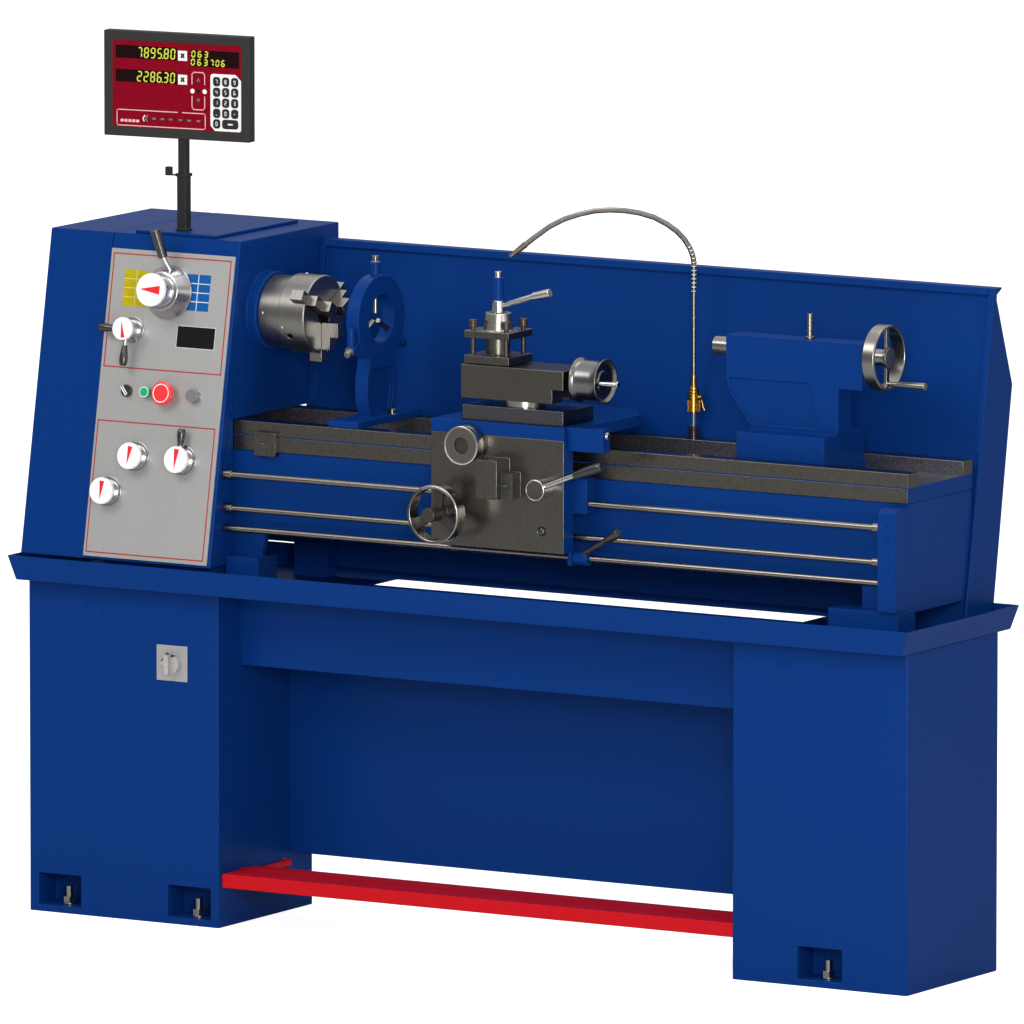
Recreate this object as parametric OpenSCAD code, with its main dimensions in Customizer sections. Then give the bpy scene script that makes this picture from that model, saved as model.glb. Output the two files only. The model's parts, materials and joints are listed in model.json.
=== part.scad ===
// Engine lathe on a sheet-metal stand.
// X runs along the bed from headstock to tailstock, Y from front to back, Z up.
// The origin is on the floor under the middle of the whole machine.

/* [Stand] */
// Overall length of the two cabinets and the gap between them
stand_l = 1870; // [1820:10:2000]
// Depth of the cabinets
stand_d = 328; // [324:2:350]
// Height of the cabinets, up to the tray
stand_h = 622; // [580:2:680]
// Length of the cabinet under the headstock
head_cab_l = 412; // [412:2:440]
// Length of the cabinet under the tailstock
tail_cab_l = 364; // [300:2:400]
// Thickness of the cabinet sheet
cab_wall = 3; // [2:0.5:4]
// Thickness of the plates that stand on the floor
foot_plate = 13; // [10:1:16]
// Diameter of the anchor bolts
anchor_d = 14; // [10:1:16]
// Depth of the skirt between the cabinets
valance_h = 141; // [100:1:160]
// Height of the pedal's tread above the floor
pedal_h = 101; // [96:1:130]

/* [Chip tray] */
// How far the tray floor reaches past each end of the stand
tray_over_x = 6; // [2:1:12]
// How far the tray floor reaches past the front and back of the stand
tray_over_y = 35; // [30:1:40]
// Height of the tray rim
rim_h = 45; // [40:1:47]
// How far the rim leans out at the ends
flare_x = 15; // [8:1:20]
// How far the rim leans out at the front and back
flare_y = 5; // [4:1:10]
// Thickness of the tray sheet
tray_wall = 3; // [2:0.5:4]

/* [Bed and ways] */
// Height of the ways above the stand
way_rise = 316; // [312:1:330]
// Width of the bed over the ways
way_w = 236; // [226:2:240]
// Width of each way
rail_w = 36; // [32:1:40]
// Height of each way above the deck between them
rail_h = 26; // [22:1:30]
// Thickness of the bed's side walls
bed_wall = 14; // [10:1:18]
// Distance of the bed's axis behind the middle of the stand
bed_off = 10; // [0:1:12]

/* [Headstock] */
// Height of the spindle axis above the ways
centre_h = 190; // [188:1:196]
// Length of the end cover over the pulleys
cover_l = 135; // [130:1:136]
// Overall height of the headstock
head_h = 593; // [590:1:620]
// Lean of the headstock's front face
lean = 10.5; // [9:0.5:12]
// Thickness of the end cover's sheet
cover_wall = 3; // [2:0.5:4]
// Bore through the spindle
spindle_bore = 52; // [38:1:56]
// Diameter of the spindle in its bearings
spindle_d = 80; // [72:1:84]
// Outer diameter of the spindle bearings
bearing_d = 118; // [112:1:122]

/* [Chuck] */
// Diameter of the chuck
chuck_d = 145; // [130:1:160]
// Length of the chuck body
chuck_l = 55; // [50:1:60]
// Width of each jaw
jaw_w = 20; // [16:1:24]
// Distance of the innermost jaw step from the axis at rest
jaw_grip = 14; // [11:1:18]

/* [Carriage] */
// Distance of the carriage's middle from the left end of the stand
carriage_x = 1022; // [1000:1:1100]
// Length of the apron
apron_l = 281; // [270:1:290]
// Height of the apron
apron_h = 207; // [200:1:207]
// Thickness of the saddle plate
saddle_t = 21; // [18:1:24]
// Diameter of the carriage handwheel
wheel_d = 108; // [90:1:116]
// Diameter of the cross-feed dial
dial_d = 72; // [60:1:76]
// Length of the top slide
top_slide_l = 216; // [200:1:220]
// Height of the top slide
top_slide_h = 61; // [56:1:64]
// Side of the square tool post
post_w = 94; // [80:1:96]

/* [Feed rods] */
// Diameter of the leadscrew
leadscrew_d = 12; // [10:0.5:14]
// Diameter of the feed rod
feed_rod_d = 11; // [9:0.5:13]
// Diameter of the control rod
control_rod_d = 12; // [10:0.5:12]
// Play around a rod or shaft in its bore
shaft_play = 0.06; // [0.04:0.01:0.09]

/* [Tailstock] */
// Distance of the tailstock base from the left end of the stand
tail_x = 1453; // [1440:1:1470]
// Diameter of the quill
quill_d = 33; // [28:1:36]
// Diameter of the tailstock handwheel
tail_wheel_d = 120; // [100:1:124]

/* [Steady rest] */
// Outer diameter of the ring
ring_d = 162; // [156:1:170]
// Opening of the ring
ring_bore = 88; // [80:1:92]
// Thickness of the ring
ring_t = 27; // [20:1:30]

/* [Back guard] */
// Height of the guard's top above the ways
guard_h = 303; // [290:1:320]
// Lean of the guard, back per unit of height
guard_lean = 0.1724; // [0.15:0.0001:0.19]
// Width of the rim around the guard panel
guard_lip = 13; // [10:1:16]

/* [Readout] */
// Width of the readout
readout_w = 299; // [260:1:320]
// Height of the readout
readout_h = 195; // [170:1:210]
// Depth of the readout
readout_t = 24; // [20:1:30]
// Angle that the readout is turned towards the operator
readout_turn = 5.5; // [0:0.5:15]

/* [Hidden] */
$fn = 48;

// colours of the finishes
blue = [0.07, 0.2, 0.47];
steel = [0.6, 0.6, 0.6];
ground = [0.35, 0.34, 0.31];
chrome = [0.85, 0.86, 0.9];
black = [0.15, 0.15, 0.15];
panel_grey = [0.68, 0.68, 0.68];
red = [0.82, 0.05, 0.1];

// gaps
slide_gap = 0.3;     // between a moving piece and its guide
cut = 1;             // how far a cutting shape runs past a face

// ends, front and heights of the stand
x0 = -stand_l / 2;
front_reach = 280;               // from the bed's axis to the front of the carriage handwheel
back_reach = 269.6;              // from the bed's axis to the back of the cover's hinges
ay = (front_reach - back_reach) / 2;
y0 = ay - bed_off - stand_d / 2;
y1 = y0 + stand_d;
head_cab_x = x0 + head_cab_l;
tail_cab_x = -x0 - tail_cab_l;
tray_floor = stand_h + tray_wall;

// bed
my = ay - 174;                   // front reference of the machine on the stand
way_z = stand_h + way_rise;
deck_z = way_z - rail_h;
seam_z = deck_z - 28;            // underside of the ground strip
skirt_z = way_z - 208.5;         // lower edge of the side walls
end_z = way_z - 254;             // lower edge of the end blocks
half_way = way_w / 2;
line_d = 0.8;                    // depth of the fine lines along the bed
half_bed = half_way - 2.4;
bed_x0 = x0 + 140;
bed_x1 = -x0 - 34;
bed_front = ay - half_bed;
bed_back = ay + half_bed;
left_end_x = x0 + head_cab_l + 67;  // inner edge of the left end block
right_end_x = bed_x1 - 95;       // inner edge of the right end block
foot_top = end_z + 6;
foot_w = 65;

// headstock
hinge_out = 9;                   // hinge axis behind the back of the headstock
hinge_pin_r = 4;
hinge_r = 8;
axis_z = way_z + centre_h;
head_z = stand_h + rim_h + 4.5;
head_top = head_z + head_h;
head_front = my - 27.8;
head_back = ay + back_reach - hinge_out - hinge_r;
head_x = x0 + cover_l + 1.5;
head_end = x0 + head_cab_l - 1;
head_wall = 10;
box_back = ay - half_way - 2;    // back of the gearbox in front of the bed
panel_t = 3;
panel_w = head_cab_l - cover_l - 9.5;
panel_l = head_h / cos(lean) - 34;
glue_t = 0.05;                   // film that holds the panel on
spindle_r = spindle_d / 2;
bearing_r = bearing_d / 2;
boss_l = 20.5;
boss_r = 73;
hinge_x = head_x - 2;
hinge_z = [way_z + 45, head_top - 90];

// drive
gear_m = 4;                      // tooth module
spindle_teeth = 48;
pinion_teeth = 24;
gear_x = head_x + 78;
gear_w = 28;
gear_gap = 0.6;
centres = gear_m * (spindle_teeth + pinion_teeth) / 2 + gear_gap;
input_y = ay + 80;
input_z = axis_z - sqrt(pow(centres, 2) - pow(input_y - ay, 2));
input_r = 16;
pulley_x = x0 + 45;
groove_pitch = 15;
groove_count = 3;
input_pulley_r = 80;
motor_pulley_r = 40;
pulley_w = groove_pitch * groove_count + 5;
motor_y = y0 + 236;
motor_z = 300;
motor_r = 78;
motor_x = pulley_x + pulley_w + 12;
motor_l = 230;
motor_shaft_r = 12;
belt_w = 9;
belt_t = 9;
belt_gap = 1.2;

// chuck, along X from the spindle nose
chuck_x = head_end + boss_l + 1.5;
plate_l = 46.5;
plate_r = chuck_d / 2 - 5.5;
chuck_face = chuck_x + plate_l + chuck_l;
chuck_r = chuck_d / 2;
chuck_bore = 40;
slot_l = 26;
jaw_steps = [[27, 35], [50, 17.5], [73, 0]];  // radial reach and height of each step

// feed rods
rod_y = ay - 152;
leadscrew_z = way_z - 96;
feed_rod_z = way_z - 158.5;
control_rod_z = way_z - 196;
collar_r = 9;
bracket_x = bed_x1 - 38;

// carriage
cx = x0 + carriage_x;
apron_x0 = cx - apron_l / 2;
apron_x1 = cx + apron_l / 2;
apron_y = my - 20;
apron_t = 34;
saddle_z = way_z + 24;
saddle_top = saddle_z + saddle_t;
apron_top = saddle_z - 2.5;
apron_z = apron_top - apron_h;
wing_x = apron_x1 + 74;
wing_y = my - 6;
wing_d = 26;
plate_x = wing_x - 50;           // right edge of the plate over the bed
plate_y = my + 217;
arm_x = plate_x - 62;            // right edge of its rear arm
saddle_back = ay + half_way + 4;
dial_z = way_z + 2.5;
dial_x = apron_x0 + 81;
wheel_x = apron_x0 + 45;
wheel_z = way_z - 121.4;
wheel_r = wheel_d / 2;
wheel_hub = 16;                  // how far the hub stands out of the wheel
wheel_y = ay - front_reach + wheel_hub;
feed_lever_x = apron_x1 - 40.5;
feed_lever_z = way_z - 67;
start_w = 30;

// slides on the carriage
cross_x0 = cx - 81;
cross_x1 = cx + 132;
cross_y0 = my - 8;
cross_y1 = my + 100;
cross_h = 27.5;
swivel_x = cx + 25;
swivel_y = my + 37;
swivel_r = 38;
swivel_h = 13;
top_z = saddle_top + cross_h + swivel_h;
top_x0 = swivel_x - top_slide_l / 2;
top_x1 = swivel_x + top_slide_l / 2;
top_half = 47;
crank_z = top_z + 42;
crank_x = top_x1 + 6;
post_x = cx - 32;
post_z = top_z + top_slide_h + 1.5;
post_d = post_w * 0.9;
post_plate = 15;
post_top_z = post_z + post_plate + 32;
post_top_t = 13;
stud_r = 6.5;

// tailstock
tail_base_x = x0 + tail_x;
tail_base_l = 183;
tail_half = 72;
tongue_half = half_way - rail_w - slide_gap;
tail_base_h = 45;
tail_rib = 25;
tail_body_x0 = tail_base_x - 50;
tail_body_x1 = tail_base_x + 234;
tail_top = axis_z + 24;
quill_r = quill_d / 2;
quill_out = 34;
quill_l = 190;
screw_r = 8;
tail_wheel_r = tail_wheel_d / 2;
tail_wheel_x = tail_body_x1 + 18;
lock_x = tail_base_x + 111.5;

// steady rest
steady_x = x0 + 644.5;
ring_r = ring_d / 2;

// coolant
coolant_x = wing_x + 8.5;
coolant_y = my + 304;
bracket_z = way_z - 9;
bracket_top = way_z - 1;
valve_z = way_z + 44;
pipe_z = way_z + 315;
// the gooseneck, as reach from the post and rise above the straight tube
neck = [
  [0, 0], [2, 14], [8, 30], [18, 46], [32, 61], [51, 75], [75, 88], [103, 97],
  [131, 102], [159, 104], [187, 103], [215, 98], [243, 90], [271, 77], [299, 58], [318, 44]
];
neck_turn = 225;                 // direction in which it reaches, seen from above
neck_r = 5;

// back guard
guard_x0 = head_end + 1;
guard_x1 = bed_x1 + 6;
guard_top = way_z + guard_h;
guard_foot_y = ay + half_way + 6.4;  // front of the guard at its knee
guard_knee = way_z - 58;
guard_back = y1 + tray_over_y - tray_wall - 5;  // back corner of its end plates
guard_sink = 8;
guard_t = 3;

// readout
readout_x = x0 + 258;
readout_y = my + 131;
readout_z = head_top + 176;
readout_off = 9;                 // how far left of its pin the readout hangs
readout_rim = 17;
tube_w = 19;

// ---- helpers ----

module block(x, y, z) translate([x[0], y[0], z[0]]) cube([x[1] - x[0], y[1] - y[0], z[1] - z[0]]);

module bar_x(x, y, z, r) translate([x[0], y, z]) rotate([0, 90, 0]) cylinder(r = r, h = x[1] - x[0]);

module bar_y(x, y, z, r) translate([x, y[1], z]) rotate([90, 0, 0]) cylinder(r = r, h = y[1] - y[0]);

module bar_z(x, y, z, r) translate([x, y, z[0]]) cylinder(r = r, h = z[1] - z[0]);

// a round bar between two points
module rod(a, b, r1, r2) {
  v = b - a;
  l = norm(v);
  translate(a) rotate([0, acos(v[2] / l), atan2(v[1], v[0])]) cylinder(r1 = r1, r2 = r2, h = l);
}

// an outline in Y and Z, drawn out along X
module along_x(x) translate([x[0], 0, 0]) rotate([90, 0, 90]) linear_extrude(height = x[1] - x[0]) children();

// an outline in X and Z, drawn out along Y
module along_y(y) translate([0, y[1], 0]) rotate([90, 0, 0]) linear_extrude(height = y[1] - y[0]) children();

// height above the floor to the front face of the headstock
function face_y(z) = head_front + (z - head_z) * tan(lean);

// a place on the headstock's front face: distance from the left end, up the face, and out of it
module on_face(d, s, out = 0)
  translate([x0 + d, head_front, head_z]) rotate([90 - lean, 0, 0]) translate([0, s, out]) children();

// ---- stand ----

pocket_w = 92;
pocket_top = 72;
pocket_d = 60;
bolt_in = 34;                    // distance of the anchor bolts from the front and back
head_bolts = [x0 + 65, head_cab_x - 64.5];
tail_bolts = [-x0 - tail_cab_l / 2];
pin_y = y0 + 230;
pin_z = pedal_h - 6;
rear_y = y0 + 247;               // front of the panel behind the pedal
rear_z = pedal_h + 8;
pin_r = 6;
belt_slot_x = [pulley_x - 4, pulley_x + pulley_w + 4];
belt_slot_y = [motor_y - 66, motor_y + 80];

// a shape at the front of the stand and its mirror image at the back
module front_and_back() {
  children();
  translate([0, y0 + y1, 0]) mirror([0, 1, 0]) children();
}

module cabinet(xa, xb, bolts) {
  difference() {
    union() {
      difference() {
        block([xa, xb], [y0, y1], [0, stand_h]);
        block([xa + cab_wall, xb - cab_wall], [y0 + cab_wall, y1 - cab_wall], [-cut, stand_h - cab_wall]);
      }
      for (x = bolts) front_and_back()
        block([x - pocket_w / 2 - cab_wall, x + pocket_w / 2 + cab_wall], [y0, y0 + pocket_d + cab_wall],
              [0, pocket_top + cab_wall]);
    }
    for (x = bolts) front_and_back() {
      block([x - pocket_w / 2, x + pocket_w / 2], [y0 - cut, y0 + pocket_d], [foot_plate, pocket_top]);
      bar_z(x, y0 + bolt_in, [-cut, foot_plate + cut], anchor_d / 2 + 1);
    }
    children();
  }
}

knock_z = stand_h - 55;
knock_r = 20;
module knockout(x) along_y([y0 - cut, y0 + 0.8]) difference() {
  translate([x, knock_z]) circle(r = knock_r);
  translate([x, knock_z]) circle(r = knock_r - 1);
}

iso_x = x0 + 313;
iso_z = stand_h - 136;
iso_w = 66;
iso_shaft_r = 5;

module left_cabinet() color(blue) cabinet(x0, head_cab_x, head_bolts) {
  knockout(x0 + 138);
  block(belt_slot_x, belt_slot_y, [stand_h - cab_wall - cut, stand_h + cut]);
  bar_y(iso_x, [y0 - cut, y0 + cab_wall + cut], iso_z, iso_shaft_r + 1);
  bar_x([head_cab_x - cab_wall - cut, head_cab_x + cut], pin_y, pin_z, pin_r + shaft_play);
}

module right_cabinet() color(blue) cabinet(tail_cab_x, -x0, tail_bolts) {
  knockout(tail_cab_x + 108);
  bar_x([tail_cab_x - cut, tail_cab_x + cab_wall + cut], pin_y, pin_z, pin_r + shaft_play);
}

window_x = [x0 + 598, tail_cab_x + 14];
window_y = [y0 + 130, y0 + 327];

module chip_tray() color(blue) difference() {
  hull() {
    block([x0 - tray_over_x, -x0 + tray_over_x], [y0 - tray_over_y, y1 + tray_over_y], [stand_h, stand_h + 1]);
    block([x0 - tray_over_x - flare_x, -x0 + tray_over_x + flare_x],
          [y0 - tray_over_y - flare_y, y1 + tray_over_y + flare_y], [stand_h + rim_h - 1, stand_h + rim_h]);
  }
  hull() {
    block([x0 - tray_over_x + tray_wall, -x0 + tray_over_x - tray_wall],
          [y0 - tray_over_y + tray_wall, y1 + tray_over_y - tray_wall], [tray_floor, tray_floor + 1]);
    block([x0 - tray_over_x - flare_x + tray_wall, -x0 + tray_over_x + flare_x - tray_wall],
          [y0 - tray_over_y - flare_y + tray_wall, y1 + tray_over_y + flare_y - tray_wall],
          [stand_h + rim_h - 1, stand_h + rim_h + cut]);
  }
  block(window_x, window_y, [stand_h - cut, tray_floor + cut]);
  block(belt_slot_x, belt_slot_y, [stand_h - cut, tray_floor + cut]);
}

module front_valance() color(blue) {
  block([head_cab_x, tail_cab_x], [y0 + 76, y0 + 76 + cab_wall], [stand_h - valance_h, stand_h]);
  block([head_cab_x, tail_cab_x], [y0 + 76 + cab_wall, y0 + 96], [stand_h - valance_h, stand_h - valance_h + cab_wall]);
}

module rear_panel() color(blue) {
  block([head_cab_x, tail_cab_x], [rear_y, rear_y + cab_wall], [rear_z, stand_h]);
  block([head_cab_x, tail_cab_x], [rear_y + cab_wall, rear_y + 20], [rear_z, rear_z + cab_wall]);
}

module brake_pedal() {
  tread = 4;
  gap = 2;
  arm = 6;
  top = pedal_h;
  color(red) {
    along_x([head_cab_x + gap, tail_cab_x - gap]) polygon([
      [y0 + 8, top - 26], [y0 + 12, top - 26], [y0 + 12, top - tread], [y0 + 66, top - tread],
      [y0 + 72, top - tread + 3], [y0 + 84, top - tread + 3], [y0 + 90, top - tread],
      [y0 + 125, top - tread], [y0 + 125, top], [y0 + 90, top], [y0 + 84, top + 3],
      [y0 + 72, top + 3], [y0 + 66, top], [y0 + 8, top]
    ]);
    for (x = [head_cab_x + gap, tail_cab_x - gap - arm])
      block([x, x + arm], [y0 + 100, pin_y + 12], [top - 16, top - tread]);
  }
  color(steel) {
    bar_x([head_cab_x - 18, head_cab_x + gap + 1], pin_y, pin_z, pin_r);
    bar_x([tail_cab_x - gap - 1, tail_cab_x + 18], pin_y, pin_z, pin_r);
  }
}

module anchor_bolts() color(steel)
  for (x = concat(head_bolts, tail_bolts)) front_and_back() {
    bar_z(x, y0 + bolt_in, [0, foot_plate + 34], anchor_d / 2);
    bar_z(x, y0 + bolt_in, [foot_plate, foot_plate + 3], anchor_d);
    translate([x, y0 + bolt_in, foot_plate + 3]) cylinder(r = anchor_d * 0.85, h = anchor_d * 0.8, $fn = 6);
  }

module isolator_plate() color(panel_grey) difference() {
  block([iso_x - iso_w / 2, iso_x + iso_w / 2], [y0 - 2.5, y0], [iso_z - iso_w / 2, iso_z + iso_w / 2]);
  bar_y(iso_x, [y0 - 2.5 - cut, y0 + cut], iso_z, iso_shaft_r + 1);
}

module isolator_knob() color(panel_grey) {
  bar_y(iso_x, [y0 - 13, y0 - 2.5 - slide_gap], iso_z, 19);
  block([iso_x - 5, iso_x + 5], [y0 - 25, y0 - 13], [iso_z - 18, iso_z + 18]);
  bar_y(iso_x, [y0 - 2.5 - slide_gap, y0 + 16], iso_z, iso_shaft_r);
}

// ---- drive ----

module motor() color(blue) difference() {
  union() {
    bar_x([motor_x, motor_x + motor_l], motor_y, motor_z, motor_r);
    bar_x([motor_x + motor_l, motor_x + motor_l + 30], motor_y, motor_z, motor_r - 8);
    block([motor_x + 60, motor_x + 150], [motor_y - 40, motor_y + 40], [motor_z + motor_r - 16, motor_z + motor_r + 28]);
    for (s = [-1, 1]) block([motor_x + 40, motor_x + motor_l - 40], [motor_y + s * 50 - 12, motor_y + s * 50 + 12],
                            [motor_z - motor_r - 12, motor_z - 45]);
    block([motor_x + 20, motor_x + motor_l - 20], [motor_y - 80, y1 - cab_wall],
          [motor_z - motor_r - 22, motor_z - motor_r - 12]);
    block([motor_x + 20, motor_x + motor_l - 20], [y1 - cab_wall - 8, y1 - cab_wall],
          [motor_z - motor_r - 100, motor_z - motor_r - 12]);
  }
  bar_x([motor_x - cut, motor_x + 60], motor_y, motor_z, motor_shaft_r + shaft_play);
}

// a grooved pulley, bored nowhere, on the X axis from zero
module pulley(r) rotate([0, 90, 0]) rotate_extrude() polygon(concat(
  [[0, 0], [r + 4, 0]],
  [for (i = [0:groove_count - 1]) each [
    [r + 4, i * groove_pitch + 4], [r - 6, i * groove_pitch + 5], [r - 6, i * groove_pitch + 15], [r + 4, i * groove_pitch + 16]
  ]],
  [[r + 4, pulley_w], [0, pulley_w]]));

module motor_pulley() color(steel) {
  translate([pulley_x, motor_y, motor_z]) pulley(motor_pulley_r);
  bar_x([pulley_x + pulley_w - cut, motor_x + 55], motor_y, motor_z, motor_shaft_r);
}

module drive_belts() color(black) {
  in = belt_gap - 6;
  for (i = [0:groove_count - 1])
    along_x([pulley_x + i * groove_pitch + 5.5, pulley_x + i * groove_pitch + 5.5 + belt_w]) difference() {
      hull() {
        translate([motor_y, motor_z]) circle(r = motor_pulley_r + in + belt_t);
        translate([input_y, input_z]) circle(r = input_pulley_r + in + belt_t);
      }
      hull() {
        translate([motor_y, motor_z]) circle(r = motor_pulley_r + in);
        translate([input_y, input_z]) circle(r = input_pulley_r + in);
      }
    }
}

// ---- bed ----

module bed() {
  color(ground) difference() {
    along_x([bed_x0, bed_x1]) polygon([
      [ay - half_way, seam_z], [ay + half_way, seam_z], [ay + half_way, way_z], [ay + half_way - rail_w, way_z],
      [ay + half_way - rail_w, deck_z], [ay - half_way + rail_w, deck_z],
      [ay - half_way + rail_w, way_z], [ay - half_way, way_z]
    ]);
    // fine line between the way and the strip under it
    block([bed_x0 - cut, bed_x1 + cut], [ay - half_way - cut, ay - half_way + line_d], [deck_z - 1, deck_z + 1]);
  }
  color(blue) difference() {
    union() {
      block([bed_x0, bed_x1], [bed_front, bed_back], [skirt_z, seam_z]);
      along_y([bed_front, bed_back]) polygon([
        [bed_x0, seam_z], [left_end_x, seam_z], [left_end_x, skirt_z], [left_end_x - 10, end_z], [bed_x0, end_z]
      ]);
      block([right_end_x, bed_x1], [bed_front, bed_back], [end_z, seam_z]);
    }
    difference() {
      block([bed_x0 + bed_wall, bed_x1 - bed_wall], [bed_front + bed_wall, bed_back - bed_wall],
            [end_z - cut, seam_z - bed_wall]);
      // cross ribs
      for (x = [left_end_x - bed_wall, (left_end_x + right_end_x) / 2, right_end_x])
        block([x, x + bed_wall], [bed_front, bed_back], [skirt_z + 20, seam_z]);
    }
    // shadow line under the way plate
    block([bed_x0 - cut, bed_x1 + cut], [bed_front - cut, bed_front + line_d], [seam_z - 1.8, seam_z + cut]);
    block([bed_x1 - line_d, bed_x1 + cut], [bed_front, bed_back + cut], [seam_z - 1.8, seam_z + cut]);
  }
  color(blue) {
    // feet in the tray
    for (s = [-1, 1]) {
      block([head_end + 2.5, left_end_x + 5], foot_span(s), [tray_floor, foot_top]);
      block([right_end_x - 51, bed_x1 - 2], foot_span(s), [tray_floor, foot_top]);
    }
    for (s = [0, 1]) translate([0, s ? bed_back - bed_wall - 36 : bed_front, 0])
      block([bed_x0 + 20, bed_x0 + 170], [0, bed_wall + 36], [tray_floor, foot_top]);
  }
}

// how far each foot spreads: outwards at the front, less at the back where the guard stands
function foot_span(s) = s < 0 ? [my + 24, my + 24 + foot_w] : [ay + half_way - 30, guard_foot_y - 1];

module rod_bracket() color(blue) difference() {
  inner = bed_front;
  outer = my + 13.5;
  top = way_z - 60;
  r = 14;
  along_x([bracket_x, bed_x1])
    polygon([
      [inner, foot_top], [inner, top], [outer + r, top],
      [outer + r * 0.29, top - r * 0.29], [outer, top - r], [outer, foot_top]
    ]);
  for (rod_at = [[leadscrew_z, leadscrew_d], [feed_rod_z, feed_rod_d], [control_rod_z, control_rod_d]])
    bar_x([bracket_x - cut, bed_x1 - 8], rod_y, rod_at[0], rod_at[1] / 2 + shaft_play);
  // oil holes in the front
  for (z = [leadscrew_z + 2, leadscrew_z - 22]) bar_y(bracket_x + 19, [outer - cut, outer + 2], z, 2.2);
}

// a rod between the headstock's side and the bracket, with a collar at each end
module feed_shaft(z, d, left_collar, right_collar) {
  bar_x([head_end - head_wall + 1, bed_x1 - 9], rod_y, z, d / 2);
  if (left_collar > 0) bar_x([head_end + slide_gap, head_end + slide_gap + left_collar], rod_y, z, collar_r);
  if (right_collar > 0) bar_x([bracket_x - slide_gap - right_collar, bracket_x - slide_gap], rod_y, z, collar_r);
}

module leadscrew() color(steel) feed_shaft(leadscrew_z, leadscrew_d, 20, 12);

module feed_rod() color(steel) feed_shaft(feed_rod_z, feed_rod_d, 20, 12);

module control_rod() color(steel) feed_shaft(control_rod_z, control_rod_d, 0, 0);

stop_x = [x0 + 461, x0 + 508];
module carriage_stop() color(ground) difference() {
  block(stop_x, [my + 45, ay - half_way], [seam_z - 7, deck_z + 8]);
  bar_y((stop_x[0] + stop_x[1]) / 2, [my + 45 - cut, my + 49], deck_z - 12, 5);
}

// ---- headstock ----

// outline of the headstock group in Y and Z, taken in by a wall's thickness
function head_outline(t, z1, z2) = [
  [face_y(z1) + t / cos(lean), z1], [head_back - t, z1], [head_back - t, z2], [face_y(z2) + t / cos(lean), z2]
];

lid_x = [x0 + 177, x0 + 352];
lid_y = [my + 92, my + 379];
lid_t = 6;

// holes through the front wall: distance from the left end, height up the face, radius
speed_at = [271, 500];
range_at = [199, 426];
thread_at = [334, 194];
feed_at = [232.5, 194];
gear_at = [180, 126];
switch_at = [200, 313.5];
start_at = [243, 313.5];
stop_at = [287, 313.5];
lamp_at = [346, 313.5];
knob_shaft_r = 8;
button_shaft_r = 5;
face_holes = [
  [speed_at, knob_shaft_r], [range_at, knob_shaft_r], [thread_at, knob_shaft_r], [feed_at, knob_shaft_r],
  [gear_at, knob_shaft_r], [switch_at, button_shaft_r], [start_at, button_shaft_r], [stop_at, button_shaft_r]
];

module headstock() color(blue) difference() {
  inner_z = way_z + head_wall;
  back = head_back - head_wall;
  union() {
    difference() {
      along_x([head_x, head_end]) polygon([
        [head_front, head_z], [box_back, head_z], [box_back, way_z], [head_back, way_z],
        [head_back, head_top], [face_y(head_top), head_top]
      ]);
      along_x([head_x + head_wall, head_end - head_wall]) polygon([
        [face_y(head_z + head_wall) + head_wall, head_z + head_wall], [box_back - head_wall, head_z + head_wall],
        [box_back - head_wall, inner_z], [back, inner_z], [back, head_top - head_wall],
        [face_y(head_top - head_wall) + head_wall, head_top - head_wall]
      ]);
      block([lid_x[0] + 15, lid_x[1] - 15], [lid_y[0] + 20, lid_y[1] - 15], [head_top - head_wall - cut, head_top + cut]);
    }
    // bearing housings
    bar_x([head_x, head_x + 30], ay, axis_z, bearing_r + 12);
    bar_x([head_end - 30, head_end + boss_l], ay, axis_z, boss_r);
    // web that carries the input shaft
    block([gear_x + gear_w + 30, gear_x + gear_w + 42], [box_back - head_wall - 2, back + 2], [inner_z - 2, input_z + 34]);
    bar_x([head_x, head_x + 24], input_y, input_z, input_r + 12);
    // foot in the tray
    block([head_x + 24, head_end - 10], [head_front + 40, box_back], [tray_floor, head_z + 1]);
    // hinge lugs for the end cover
    for (z = hinge_z) lug([head_x - 3, head_x + 26], z - 12, 24);
  }
  bar_x([head_x - cut, head_x + 28], ay, axis_z, bearing_r + 0.02);
  bar_x([head_x + 28 - cut, head_x + 31], ay, axis_z, spindle_r + 4);
  bar_x([head_end - 31, head_end - 28 + cut], ay, axis_z, spindle_r + 4);
  bar_x([head_end - 28, head_end], ay, axis_z, bearing_r + 0.02);
  bar_x([head_end - cut, head_end + boss_l + cut], ay, axis_z, spindle_r + 4);
  bar_x([head_x - cut, gear_x + gear_w + 43], input_y, input_z, input_r + shaft_play);
  for (rod_at = [[leadscrew_z, leadscrew_d], [feed_rod_z, feed_rod_d], [control_rod_z, control_rod_d]])
    bar_x([head_end - head_wall - 4, head_end + cut], rod_y, rod_at[0], rod_at[1] / 2 + shaft_play);
  for (h = face_holes) on_face(h[0][0], h[0][1], -head_wall - 12) cylinder(r = h[1] + shaft_play, h = head_wall + 12 + cut);
}

// a hinge lug behind the headstock that ends in a pin standing upwards
module lug(x, z, h) {
  block([hinge_x - 6, x[1]], [head_back + hinge_out - 6, head_back + hinge_out + 6], [z, z + h]);
  block([head_x + 2, x[1]], [head_back - 1, head_back + hinge_out], [z, z + h]);
  bar_z(hinge_x, head_back + hinge_out, [z + h - 1, z + h + 30], hinge_pin_r);
}

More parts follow.
